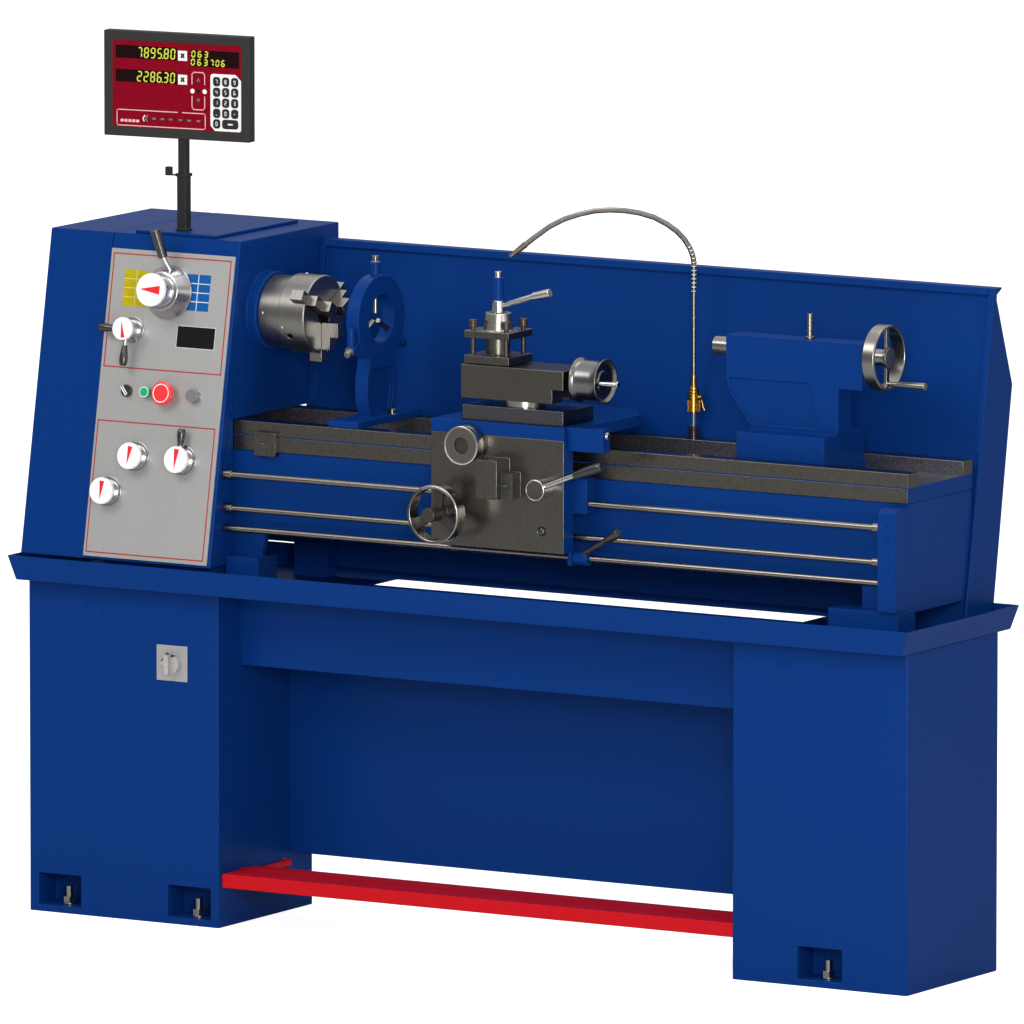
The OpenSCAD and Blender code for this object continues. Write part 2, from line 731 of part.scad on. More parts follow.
module gear_cover() color(blue) {
  difference() {
    along_x([x0, head_x - 1.5]) polygon(head_outline(0, head_z, head_top));
    along_x([x0 + cover_wall, head_x]) polygon(head_outline(cover_wall, head_z - cut, head_top - cover_wall));
    bar_x([x0 - cut, x0 + cover_wall + cut], ay, axis_z, spindle_r - 6);
  }
  // knuckles that drop over the pins
  for (z = hinge_z) difference() {
    union() {
      bar_z(hinge_x, head_back + hinge_out, [z + 12.5, z + 44], hinge_r);
      block([hinge_x - 24, hinge_x - 2], [head_back + 2, head_back + hinge_out + 4], [z + 12.5, z + 44]);
      block([hinge_x - 24, hinge_x - 6], [head_back - 1, head_back + 3], [z + 12.5, z + 44]);
    }
    bar_z(hinge_x, head_back + hinge_out, [z + 12, z + 45], hinge_pin_r + shaft_play);
  }
}

module headstock_lid() color(blue) block(lid_x, lid_y, [head_top, head_top + lid_t]);

module control_panel() {
  color(panel_grey) difference() {
    on_face(cover_l + 2.5, 5, glue_t) cube([panel_w, panel_l, panel_t - glue_t]);
    for (h = face_holes) on_face(h[0][0], h[0][1], -cut) cylinder(r = h[1] + 1, h = panel_t + 2 * cut);
  }
  color([0.4, 0.4, 0.42]) on_face(lamp_at[0], lamp_at[1], panel_t) {
    cylinder(r = 13.5, h = 2);
    cylinder(r = 12, h = 13);
  }
}

// a shaft through the front wall, with its knob standing on the panel
module face_shaft(r) translate([0, 0, -head_wall - 6]) cylinder(r = r, h = head_wall + 6 + panel_t + slide_gap + 1);

// a round knob with a bright body and a white disc
module disc_knob(r, h) {
  color(chrome) cylinder(r = r + 4, h = 3);
  color(chrome) cylinder(r = r - 3, h = h - 6);
  color("white") translate([0, 0, h - 8]) cylinder(r = r, h = 8);
}

// a straight lever with a black grip, lying in the knob's plane and pointing along Y
module grip_lever(start, reach, grip_l, r, grip_r) rotate([-90, 0, 0]) {
  color(chrome) cylinder(r = r, h = reach + 2);
  color(black) translate([0, 0, reach]) cylinder(r1 = grip_r * 0.8, r2 = grip_r, h = grip_l * 0.6);
  color(black) translate([0, 0, reach + grip_l * 0.6]) cylinder(r = grip_r, h = grip_l * 0.4);
}

out0 = panel_t + slide_gap;

module speed_lever() on_face(speed_at[0], speed_at[1]) {
  color(steel) face_shaft(knob_shaft_r);
  color(chrome) translate([0, 0, out0]) {
    cylinder(r = 50, h = 6);
    translate([0, 0, 6]) cylinder(r1 = 50, r2 = 36, h = 26);
    translate([0, 0, 32]) cylinder(r = 27, h = 34);
  }
  color("white") translate([0, 0, out0 + 60]) cylinder(r = 30.5, h = 8);
  translate([0, 0, out0 + 50]) rotate([0, 0, 12]) grip_lever(0, 62, 52, 4.5, 10);
}

module range_lever() on_face(range_at[0], range_at[1]) {
  color(steel) face_shaft(knob_shaft_r);
  translate([0, 0, out0]) {
    color(chrome) cylinder(r = 23, h = 8);
    disc_knob(21, 38);
    translate([0, 0, 22]) rotate([0, 0, 90]) grip_lever(0, 22, 38, 4, 8);
    translate([0, 0, 22]) rotate([0, 0, 180]) grip_lever(0, 30, 38, 4, 8);
  }
}

module thread_knob() on_face(thread_at[0], thread_at[1]) {
  color(steel) face_shaft(knob_shaft_r);
  translate([0, 0, out0]) {
    disc_knob(24.4, 28);
    translate([0, 0, 14]) grip_lever(0, 26, 32, 4, 8);
  }
}

module feed_knob() on_face(feed_at[0], feed_at[1]) {
  color(steel) face_shaft(knob_shaft_r);
  translate([0, 0, out0]) disc_knob(24.4, 28);
}

module gear_knob() on_face(gear_at[0], gear_at[1]) {
  color(steel) face_shaft(knob_shaft_r);
  translate([0, 0, out0]) disc_knob(24.4, 28);
}

button_travel = 4;

module start_button() on_face(start_at[0], start_at[1]) {
  color([0.05, 0.6, 0.4]) translate([0, 0, panel_t + button_travel + slide_gap]) cylinder(r = 10.5, h = 8);
  color(steel) translate([0, 0, -head_wall + 2]) cylinder(r = button_shaft_r, h = head_wall + panel_t + button_travel);
}

module stop_button() on_face(stop_at[0], stop_at[1]) {
  color([0.9, 0.15, 0.2]) translate([0, 0, panel_t + button_travel + slide_gap]) {
    cylinder(r = 13, h = 8);
    translate([0, 0, 7]) cylinder(r = 22, h = 13);
  }
  color(steel) translate([0, 0, -head_wall + 2]) cylinder(r = button_shaft_r, h = head_wall + panel_t + button_travel);
}

module mode_switch() on_face(switch_at[0], switch_at[1]) {
  color(steel) face_shaft(button_shaft_r);
  color(black) translate([0, 0, out0]) {
    cylinder(r = 11.5, h = 5);
    rotate([0, 0, 35]) translate([-3, -10, 4]) cube([6, 20, 9]);
  }
}

// ---- gears and spindle ----

// a straight-toothed gear on the X axis, with a tooth pointing at angle turn in the Y-Z plane
module gear(teeth, w, turn) {
  pitch_r = gear_m * teeth / 2;
  root_r = pitch_r - gear_m;
  tip_r = pitch_r + gear_m * 0.7;
  step = 360 / teeth;
  along_x([0, w]) union() {
    circle(r = root_r + 0.2);
    for (i = [0:teeth - 1]) rotate(turn + i * step) polygon([
      [root_r - 1, -gear_m * 0.9], [pitch_r, -gear_m * 0.62], [tip_r, -gear_m * 0.32],
      [tip_r, gear_m * 0.32], [pitch_r, gear_m * 0.62], [root_r - 1, gear_m * 0.9]
    ]);
  }
}

mesh_turn = atan2(input_z - axis_z, input_y - ay);

module spindle() color(steel) difference() {
  union() {
    bar_x([x0 + 14, chuck_x + plate_l - 8], ay, axis_z, spindle_r);
    translate([gear_x, ay, axis_z]) gear(spindle_teeth, gear_w, mesh_turn);
  }
  bar_x([x0 + 14 - cut, chuck_x + plate_l - 8 + cut], ay, axis_z, spindle_bore / 2);
}

module spindle_bearings() color(steel)
  for (x = [head_x + 1, head_end - 27]) difference() {
    bar_x([x, x + 26], ay, axis_z, bearing_r);
    bar_x([x - cut, x + 27], ay, axis_z, spindle_r + shaft_play);
    for (s = [-1, 1]) translate([x + 13 + s * 13, ay, axis_z]) rotate([0, 90, 0]) rotate_extrude()
      translate([bearing_r - 12, 0]) square([5, 6], center = true);
  }

module input_shaft() color(steel) {
  translate([pulley_x, input_y, input_z]) pulley(input_pulley_r);
  bar_x([pulley_x + pulley_w - cut, gear_x + gear_w + 52], input_y, input_z, input_r);
  translate([gear_x, input_y, input_z]) gear(pinion_teeth, gear_w, 180 + mesh_turn + 180 / pinion_teeth);
}

// the three jaws stand at these angles in the Y-Z plane
jaw_angles = [270, 30, 150];

module chuck_body() color(steel) difference() {
  union() {
    bar_x([chuck_x, chuck_x + plate_l], ay, axis_z, plate_r);
    bar_x([chuck_x + plate_l - 1, chuck_face - 2], ay, axis_z, chuck_r);
    translate([chuck_face - 2, ay, axis_z]) rotate([0, 90, 0]) cylinder(r1 = chuck_r, r2 = chuck_r - 2, h = 2);
  }
  bar_x([chuck_x - cut, chuck_x + plate_l - 8], ay, axis_z, spindle_r + 0.02);
  bar_x([chuck_x - cut, chuck_face + cut], ay, axis_z, chuck_bore / 2);
  for (a = jaw_angles) translate([0, ay, axis_z]) rotate([a, 0, 0]) {
    block([chuck_face - slot_l, chuck_face + cut], [0, chuck_r + cut],
          [-jaw_w / 2 - slide_gap, jaw_w / 2 + slide_gap]);
    // square key socket between the jaws
    rotate([60, 0, 0]) translate([chuck_x + plate_l + 20, chuck_r - 14, 0]) rotate([-90, 0, 0]) cylinder(r = 6, h = 20);
  }
}

module jaw(angle) color(steel) translate([chuck_face, ay, axis_z]) rotate([angle, 0, 0])
  translate([0, jaw_grip, -jaw_w / 2]) linear_extrude(height = jaw_w) polygon(concat(
    [[-slot_l + slide_gap, 0], [jaw_steps[0][1], 0]],
    [for (i = [0:2]) each [[jaw_steps[i][1], jaw_steps[i][0]], [i < 2 ? jaw_steps[i + 1][1] : -slot_l + slide_gap, jaw_steps[i][0]]]]
  ));

module chuck_jaw_1() jaw(jaw_angles[0]);

module chuck_jaw_2() jaw(jaw_angles[1]);

module chuck_jaw_3() jaw(jaw_angles[2]);

// ---- carriage ----

module saddle() {
  color(blue) difference() {
    union() {
      // plate over the bed, narrowing to the back
      translate([0, 0, saddle_z]) linear_extrude(height = saddle_t) polygon([
        [apron_x0, apron_y], [apron_x1, apron_y], [apron_x1, wing_y], [wing_x, wing_y],
        [wing_x, wing_y + wing_d], [plate_x, wing_y + wing_d], [plate_x, plate_y], [arm_x, saddle_back],
        [apron_x0 + 24, saddle_back],
        [apron_x0, ay - half_way + rail_w]
      ]);
      block([apron_x0, apron_x1], [apron_y, apron_y + apron_t], [apron_top, saddle_z + 1]);
      // blocks that ride on the ways
      block([apron_x0, plate_x], [apron_y + apron_t + 2, ay - half_way + rail_w], [way_z, saddle_z + 1]);
      block([apron_x1 + 0.5, wing_x], [wing_y, wing_y + wing_d], [way_z + 2, saddle_z + 1]);
      block([apron_x0 + 24, arm_x], [ay + half_way - rail_w, saddle_back], [way_z, saddle_z + 1]);
    }
    block([apron_x0 - cut, wing_x + cut], [apron_y + apron_t, bed_front + 1], [way_z - cut, way_z + 1]);
  }
  color(black) block([apron_x0 - 23, apron_x0 + 1], [ay - half_way + 2, ay - half_way + rail_w - 6], [way_z, saddle_z]);
  color(steel) {
    bar_x([wing_x - 1, wing_x + 4], my + 10, saddle_z + 8, 7);
  }
  // low bracket that carries the coolant pipe behind the rear way
  color(blue) difference() {
    union() {
      block([arm_x - 40, arm_x], [saddle_back - 1, coolant_y + 9], [bracket_z, saddle_z]);
      block([arm_x - 1, coolant_x + 9], [coolant_y - 9, coolant_y + 9], [bracket_z, bracket_top]);
    }
    bar_z(coolant_x, coolant_y, [bracket_z - cut, bracket_top + cut], 4.1);
  }
}

dial_shaft_r = 7;
wheel_shaft_r = 9;
lever_shaft_r = 8;
housing_x = cx - 60;
housing_back = my + 44;

module apron() {
  color(ground) difference() {
    along_y([apron_y, apron_y + apron_t]) polygon([
      [apron_x0 + 12, apron_z], [apron_x1, apron_z], [apron_x1, apron_top], [apron_x0, apron_top], [apron_x0, apron_z + 12]
    ]);
    bar_y(dial_x, [apron_y - cut, apron_y + 24], dial_z, dial_shaft_r + shaft_play);
    bar_y(wheel_x, [apron_y - cut, apron_y + 26], wheel_z, wheel_shaft_r + shaft_play);
    bar_y(feed_lever_x, [apron_y - cut, apron_y + 24], feed_lever_z, lever_shaft_r + shaft_play);
    bar_y(cx + 94, [apron_y - cut, apron_y + 3], way_z - 147, 8.4);
  }
  color(ground) {
    block([cx - 18, cx + 26], [my - 65, apron_y + 1], [way_z - 89, way_z - 18]);
    bar_y(cx + 94, [apron_y + 1, apron_y + 3.2], way_z - 147, 7.6);
  }
  color([0.25, 0.2, 0.17]) {
    block([cx + 25, cx + 49], [my - 48, apron_y + 1], [way_z - 89, way_z - 42]);
    bar_x([cx + 22, cx + 42], my - 51, way_z - 65, 3.2);
  }
  color(blue) difference() {
    union() {
      block([housing_x, apron_x1 + 29], [apron_y + apron_t - 1, housing_back], [leadscrew_z - 18, way_z - 50]);
      block([housing_x, cx + 40], [apron_y + apron_t - 1, housing_back - 4], [feed_rod_z - 15, leadscrew_z - 17]);
      block([apron_x1 - 9, apron_x1 - 1], [my + 8, my + 36], [control_rod_z - 14, apron_z + 10]);
    }
    bar_x([housing_x - cut, apron_x1 + 30], rod_y, leadscrew_z, leadscrew_d / 2 + shaft_play);
    bar_x([housing_x - cut, cx + 41], rod_y, feed_rod_z, feed_rod_d / 2 + shaft_play);
    bar_x([apron_x1 - 10, apron_x1], rod_y, control_rod_z, control_rod_d / 2 + shaft_play);
  }
}

// a handwheel on the Z axis, its back at zero, with spokes at the angles in turns
module handwheel(r, depth, rim, hub_r, hub_l, spoke_w, turns, spoke_z, spoke_h) {
  color(steel) rotate_extrude() polygon([
    [r - rim, 0], [r - 2, 0], [r, 2], [r, depth - 2], [r - 2, depth], [r - rim + 1, depth], [r - rim, depth - 1]
  ]);
  color(black) {
    cylinder(r = hub_r, h = hub_l);
    for (turn = turns) rotate(turn)
      translate([hub_r - 4, 0, spoke_z]) linear_extrude(height = spoke_h) polygon([
        [0, -spoke_w * 0.45], [r - rim - hub_r + 5, -spoke_w * 0.6],
        [r - rim - hub_r + 5, spoke_w * 0.6], [0, spoke_w * 0.45]
      ]);
  }
}

module carriage_wheel() {
  translate([wheel_x, wheel_y + 30, wheel_z]) rotate([90, 0, 0])
    handwheel(wheel_r, 30, 6, 13.5, 30 + wheel_hub, 17, [85, 205, 325], 4, 10);
  color(black) bar_y(wheel_x, [wheel_y + 29, apron_y - slide_gap], wheel_z, 17);
  color(black) bar_y(wheel_x, [apron_y - 2, apron_y + 24], wheel_z, wheel_shaft_r);
}

module cross_dial() {
  color(steel) difference() {
    union() {
      bar_y(dial_x, [my - 50, my - 27], dial_z, dial_d / 2);
      bar_y(dial_x, [my - 27.5, my - 24.5], dial_z, dial_d / 2 - 3);
      bar_y(dial_x, [my - 25, apron_y - slide_gap], dial_z, dial_d / 2);
    }
    bar_y(dial_x, [my - 51, my - 46], dial_z, 15);
  }
  color(steel) bar_y(dial_x, [apron_y - 2, apron_y + 22], dial_z, dial_shaft_r);
}

module feed_lever() {
  y = my - 46;
  tip = [feed_lever_x + 78, y, feed_lever_z + 31];
  v = [0.93, 0, 0.33];
  color(steel) {
    bar_y(feed_lever_x, [my - 55, apron_y - slide_gap], feed_lever_z, 19.6);
    bar_y(feed_lever_x, [apron_y - 2, apron_y + 22], feed_lever_z, lever_shaft_r);
    rod([feed_lever_x + 12, y, feed_lever_z + 5], tip, 5, 5);
  }
  color(black) rod(tip, tip + 62 * v, 7, 10);
}

module start_lever() {
  x1 = apron_x1 + slide_gap;
  root = [x1 + 20, rod_y - 6, control_rod_z + 9];
  tip = root + [58, -22, 29];
  color(blue) difference() {
    bar_x([x1, x1 + start_w], rod_y, control_rod_z, 13);
    bar_x([x1 - cut, x1 + start_w + cut], rod_y, control_rod_z, control_rod_d / 2 + shaft_play);
  }
  color(steel) rod(root, tip, 4, 4);
  color(black) rod(tip, tip + [38, -15, 21], 6, 9);
}

module cross_slide() color(ground) difference() {
  block([cross_x0, cross_x1], [cross_y0, cross_y1], [saddle_top, saddle_top + cross_h]);
  bar_z(swivel_x, swivel_y, [saddle_top + cross_h - 14, saddle_top + cross_h + cut], 10 + shaft_play);
}

rib_w = 24;
rib_h = 8;

module top_slide_base() color(steel) {
  bar_z(swivel_x, swivel_y, [saddle_top + cross_h, top_z], swivel_r);
  bar_z(swivel_x, swivel_y, [saddle_top + cross_h - 13, saddle_top + cross_h + 1], 10);
  block([swivel_x - 34, swivel_x + 34], [swivel_y - rib_w / 2, swivel_y + rib_w / 2], [top_z - 1, top_z + rib_h]);
}

module top_slide() color(ground) {
  difference() {
    block([top_x0, top_x1], [swivel_y - top_half, swivel_y + top_half], [top_z, top_z + top_slide_h]);
    block([top_x1 - 23, top_x1 + cut], [swivel_y - top_half - cut, swivel_y + top_half + cut], [top_z - cut, top_z + 26]);
    block([top_x0 - cut, top_x1 + cut], [swivel_y - rib_w / 2 - slide_gap, swivel_y + rib_w / 2 + slide_gap],
          [top_z - cut, top_z + rib_h + slide_gap]);
    bar_x([top_x1 - 44, top_x1 + cut], swivel_y, crank_z, 8 + shaft_play);
  }
  bar_z(post_x, swivel_y, [top_z + top_slide_h - 1, stud_top], stud_r);
}

module top_slide_crank() {
  color(steel) {
    bar_x([top_x1 - 42, crank_x + 1], swivel_y, crank_z, 8);
    translate([crank_x, swivel_y, crank_z]) rotate([0, 90, 0]) rotate_extrude() polygon([
      [0, 0], [39, 0], [41, 2], [41, 5], [37, 9], [36.5, 42], [38, 50], [41, 55], [41, 57], [38, 57],
      [34, 52], [21, 50], [19, 53], [0, 53]
    ]);
  }
  // handle pin with a button end
  color(chrome) {
    bar_x([crank_x + 49, crank_x + 97], swivel_y - 28, crank_z, 4.5);
    bar_x([crank_x + 96, crank_x + 100], swivel_y - 28, crank_z, 6);
  }
}

cone_z = post_top_z + post_top_t;
cone_h = 31;
stud_top = cone_z + cone_h + 75;
bolt_x = post_w / 2 - 12;
bolt_y = post_d / 2 - 12;

module tool_post() translate([post_x, swivel_y, 0]) {
  color(ground) difference() {
    union() {
      bar_z(0, 0, [top_z + top_slide_h, post_z + 1], 34);
      block([-post_w / 2, post_w / 2], [-post_d / 2, post_d / 2], [post_z, post_z + post_plate]);
      bar_z(0, 0, [post_z + post_plate - 1, post_top_z + 1], 22);
      block([-post_w / 2, post_w / 2], [-post_d / 2, post_d / 2], [post_top_z, cone_z]);
      translate([0, 0, cone_z - 1]) cylinder(r1 = 28.5, r2 = 24, h = cone_h + 1);
    }
    bar_z(0, 0, [top_z, cone_z + cone_h + cut], stud_r + shaft_play);
    for (x = [-1, 1], y = [-1, 1]) bar_z(x * bolt_x, y * bolt_y, [post_top_z - cut, cone_z + cut], 4.6);
  }
  color([0.22, 0.18, 0.15]) for (x = [-1, 1], y = [-1, 1]) {
    bar_z(x * bolt_x, y * bolt_y, [post_z + post_plate, cone_z + 7], 4.5);
    bar_z(x * bolt_x, y * bolt_y, [cone_z + 5, cone_z + 19], 8);
  }
}

module post_lever() {
  z = cone_z + cone_h + slide_gap;
  root = [post_x + 9, swivel_y, z + 13];
  tip = [post_x + 74, swivel_y, z + 33];
  color(chrome) {
    difference() {
      translate([post_x, swivel_y, z]) cylinder(r1 = 12.5, r2 = 10, h = 22);
      bar_z(post_x, swivel_y, [z - cut, z + 23], stud_r + shaft_play);
    }
    rod(root, tip, 4.5, 5.5);
    rod(tip, tip + [36, 0, 9], 7.5, 8.5);
  }
  color(blue) difference() {
    bar_z(post_x, swivel_y, [z + 22, stud_top - 11], 10.5);
    bar_z(post_x, swivel_y, [z + 21, stud_top], stud_r + shaft_play);
  }
}

// ---- tailstock ----

module tailstock() color(blue) difference() {
  union() {
    block([tail_base_x, tail_base_x + tail_base_l], [ay - tail_half, ay + tail_half], [way_z - 7, way_z + tail_base_h]);
    // tongue that runs between the ways
    block([tail_base_x, tail_base_x + tail_base_l], [ay - tongue_half, ay + tongue_half], [deck_z + slide_gap, way_z - 6]);
    along_y([ay - tail_rib, ay + tail_rib]) polygon([
      [tail_base_x + 2, way_z + tail_base_h - 1], [tail_base_x + 2, way_z + tail_base_h + 6],
      [tail_body_x0 + 8, axis_z - 82], [tail_body_x0, axis_z - 54], [tail_body_x0, tail_top],
      [tail_body_x1, tail_top], [tail_body_x1, axis_z - 60], [tail_base_x + tail_base_l + 2, axis_z - 60],
      [tail_base_x + tail_base_l + 2, way_z + tail_base_h + 6], [tail_base_x + tail_base_l - 2, way_z + tail_base_h - 1]
    ]);
  }
  // sunk field on each side
  for (s = [-1, 1]) along_y([ay + s * tail_rib - 4, ay + s * tail_rib + 4]) polygon([
    [tail_body_x0 + 6, axis_z - 54], [tail_base_x + 125, axis_z - 54],
    [tail_base_x + 146, way_z + tail_base_h + 9], [tail_base_x + 6, way_z + tail_base_h + 9], [tail_body_x0 + 12, axis_z - 80]
  ]);
  bar_x([tail_body_x0 - cut, tail_body_x0 + quill_l - quill_out + 24], ay, axis_z, quill_r + shaft_play);
  bar_x([tail_body_x0, tail_body_x1 + cut], ay, axis_z, screw_r + shaft_play);
  bar_z(lock_x, ay, [tail_top - 5, tail_top + cut], 6 + shaft_play);
}

module quill() color(steel) difference() {
  bar_x([tail_body_x0 - quill_out, tail_body_x0 - quill_out + quill_l], ay, axis_z, quill_r);
  translate([tail_body_x0 - quill_out - cut, ay, axis_z]) rotate([0, 90, 0]) cylinder(r1 = 9.1, r2 = 7, h = 60);
  bar_x([tail_body_x0, tail_body_x0 + quill_l], ay, axis_z, screw_r + 1.5);
}

module tailstock_wheel() {
  color(steel) {
    bar_x([tail_body_x0 + 40, tail_wheel_x + 1], ay, axis_z, screw_r);
    bar_x([tail_body_x1 + slide_gap, tail_wheel_x + 1], ay, axis_z, 15);
  }
  translate([tail_wheel_x, ay, axis_z]) rotate([0, 90, 0])
    handwheel(tail_wheel_r, 26, 6, 15, 25, 9, [0, 180], 16, 6);
  handle_z = axis_z - tail_wheel_r + 13;
  color(steel) {
    bar_x([tail_wheel_x + 20, tail_wheel_x + 27], ay, axis_z, 19);
    rod([tail_wheel_x + 18, ay, handle_z], [tail_wheel_x + 100, ay, handle_z], 4.3, 7);
  }
}

module quill_lock() color(chrome) {
  bar_z(lock_x, ay, [tail_top - 4, tail_top + 46], 6);
  bar_z(lock_x, ay, [tail_top + slide_gap, tail_top + 5], 9);
}

// ---- steady rest ----

module steady_rest() {
  xs = [steady_x - ring_t / 2, steady_x + ring_t / 2];
  stem_top = axis_z - ring_r + 12;
  base_top = way_z + 12;
  color(blue) difference() {
    union() {
      block([steady_x - 32, steady_x + 32], [my + 60, my + 288], [way_z, base_top]);
      bar_x(xs, ay, axis_z, ring_r);
      along_x(xs) polygon([
        [ay - 40, base_top - 1], [ay - 50, way_z + 46], [ay - 50, way_z + 78], [ay - 40, stem_top],
        [ay + 40, stem_top], [ay + 50, way_z + 78], [ay + 50, way_z + 46], [ay + 40, base_top - 1]
      ]);
      for (a = [90, 210, 330]) translate([steady_x, ay, axis_z]) rotate([a, 0, 0]) translate([0, ring_r - 3, 0])
        rotate([-90, 0, 0]) cylinder(r = 10, h = 27);
      // clamp lug in front of the ring
      bar_z(steady_x, ay - 84, [axis_z - 46, axis_z - 8], 8);
    }
    bar_x([xs[0] - cut, xs[1] + cut], ay, axis_z, ring_bore / 2);
    for (x = xs) along_x([x - 8, x + 8]) polygon([
      [ay - 32, base_top + 4], [ay - 41, way_z + 48], [ay - 41, way_z + 76], [ay - 34, stem_top - 22],
      [ay + 34, stem_top - 22], [ay + 41, way_z + 76], [ay + 41, way_z + 48], [ay + 32, base_top + 4]
    ]);
    for (a = [90, 210, 330]) translate([steady_x, ay, axis_z]) rotate([a, 0, 0])
      rotate([-90, 0, 0]) cylinder(r = 5.1, h = ring_r + 40);
    bar_z(steady_x + 20, ay + 26, [way_z - cut, base_top + cut], 5.1);
  }
  color(chrome) {
    for (a = [90, 210, 330]) translate([steady_x, ay, axis_z]) rotate([a, 0, 0]) {
      rotate([-90, 0, 0]) translate([0, 0, 9]) cylinder(r = 5, h = ring_r + 20);
      translate([0, ring_r + 23, 0]) rotate([-90, 0, 0]) cylinder(r = 7.5, h = 12, $fn = 6);
    }
    bar_z(steady_x + 20, ay + 26, [way_z, base_top + 3], 5);
    translate([steady_x + 20, ay + 26, base_top]) cylinder(r = 9, h = 10, $fn = 6);
  }
}

// ---- coolant ----

module coolant_valve() {
  color(black) bar_z(coolant_x, coolant_y, [bracket_top, way_z + 19], 9.5);
  color(steel) {
    bar_z(coolant_x, coolant_y, [bracket_z, bracket_top + 1], 4);
    bar_z(coolant_x, coolant_y, [way_z + 18, valve_z + 1], 4);
  }
  color([0.75, 0.55, 0.2]) {
    bar_z(coolant_x, coolant_y, [valve_z, valve_z + 34], 11);
    bar_z(coolant_x, coolant_y, [valve_z + 33, valve_z + 46], 8);
    bar_z(coolant_x, coolant_y, [valve_z + 45, valve_z + 67], 5);
    bar_x([coolant_x, coolant_x + 13], coolant_y, valve_z + 27, 4);
  }
}

module valve_lever() color([0.75, 0.55, 0.2]) {
  x = coolant_x + 13 + slide_gap;
  bar_x([x, x + 4], coolant_y, valve_z + 27, 4.5);
  rod([x + 2, coolant_y, valve_z + 25], [x + 9, coolant_y, valve_z + 4], 2.4, 2.4);
}

// the route of the gooseneck as points in space
function neck_point(p) = [
  coolant_x + p[0] * cos(neck_turn), coolant_y + p[0] * sin(neck_turn), pipe_z + p[1]
];

// a ring of corners round the route at point i
function neck_dir(i) =
  let (a = neck_point(neck[max(i - 1, 0)]), b = neck_point(neck[min(i + 1, len(neck) - 1)])) (b - a) / norm(b - a);

neck_sides = 10;
neck_side = [-sin(neck_turn), cos(neck_turn), 0];

module coolant_pipe() {
  color(steel) bar_z(coolant_x, coolant_y, [valve_z + 67, pipe_z + 2], 3.5);
  color(steel) polyhedron(
    points = [
      for (i = [0:len(neck) - 1]) let (t = neck_dir(i), n = cross(neck_side, t))
        for (k = [0:neck_sides - 1]) let (a = 360 * k / neck_sides)
          neck_point(neck[i]) + neck_r * (cos(a) * n + sin(a) * neck_side)
    ],
    faces = concat(
      [[for (k = [0:neck_sides - 1]) k]],
      [for (i = [0:len(neck) - 2], k = [0:neck_sides - 1]) let (j = (k + 1) % neck_sides, b = i * neck_sides)
        [b + k, b + neck_sides + k, b + neck_sides + j, b + j]],
      [[for (k = [neck_sides - 1:-1:0]) (len(neck) - 1) * neck_sides + k]]
    ), convexity = 4);
  tip = neck_point(neck[len(neck) - 1]);
  v = neck_dir(len(neck) - 1);
  color([0.6, 0.45, 0.35]) rod(tip - 3 * v, tip + 34 * v, 6, 4);
}

// ---- back guard ----

function guard_y(z) = guard_foot_y + (z - guard_knee) * guard_lean;

module backsplash() color(blue) {
  sink = guard_sink;
  t = guard_t;
  bottom = tray_floor + 15;
  shoulder = guard_y(guard_top) + 66;
  // panel, upright below its knee and leaning above it
  along_x([guard_x0, guard_x1]) polygon([
    [guard_foot_y + sink, bottom], [guard_foot_y + sink, guard_knee], [guard_y(guard_top) + sink, guard_top],
    [guard_y(guard_top) + sink + t, guard_top], [guard_foot_y + sink + t, guard_knee], [guard_foot_y + sink + t, bottom]
  ]);
  // rim along the top
  along_x([guard_x0, guard_x1]) polygon([
    [guard_y(guard_top - guard_lip), guard_top - guard_lip], [guard_y(guard_top), guard_top],
    [guard_y(guard_top) + 26, guard_top], [guard_y(guard_top) + 26, guard_top - 3],
    [guard_y(guard_top - guard_lip) + sink + 1, guard_top - guard_lip]
  ]);
  // rim down each side
  for (x = [guard_x0, guard_x1 - guard_lip]) along_x([x, x + guard_lip]) polygon([
    [guard_y(way_z + 8), way_z + 8], [guard_y(guard_top), guard_top],
    [guard_y(guard_top) + sink + 1, guard_top], [guard_y(way_z + 8) + sink + 1, way_z + 8]
  ]);
  // end plates that stand in the tray
  along_x([guard_x1 - 5, guard_x1]) polygon([
    [guard_y(tray_floor), tray_floor], [guard_y(guard_top), guard_top], [shoulder, guard_top - 181],
    [guard_back, tray_floor]
  ]);
  along_x([guard_x0, guard_x0 + 5]) polygon([
    [guard_foot_y, tray_floor], [guard_foot_y, guard_knee], [guard_y(guard_top), guard_top],
    [shoulder, guard_top - 181], [guard_back, tray_floor]
  ]);
}

// ---- readout ----

pin_h = 20;

module readout_post() color(black) {
  w = tube_w / 2;
  top = head_top + lid_t;
  block([readout_x - w - 2, readout_x + w + 2], [readout_y - w - 2, readout_y + w + 2], [top, top + 4]);
  block([readout_x - w, readout_x + w], [readout_y - w, readout_y + w], [top + 3, top + 104]);
  block([readout_x - w + 1.5, readout_x + w - 1.5], [readout_y - w + 1.5, readout_y + w - 1.5],
        [top + 103, readout_z - slide_gap]);
  bar_z(readout_x, readout_y, [readout_z - 2, readout_z + pin_h - 2], 5);
  // hook for a cable
  block([readout_x - w - 2, readout_x + w + 2], [readout_y - w - 2, readout_y + w + 2], [top + 100, top + 106]);
  block([readout_x - 30, readout_x - w - 1], [readout_y - 2, readout_y + 2], [top + 100, top + 103]);
  block([readout_x - 38, readout_x - 27], [readout_y - 5, readout_y + 5], [top + 100, top + 116]);
}

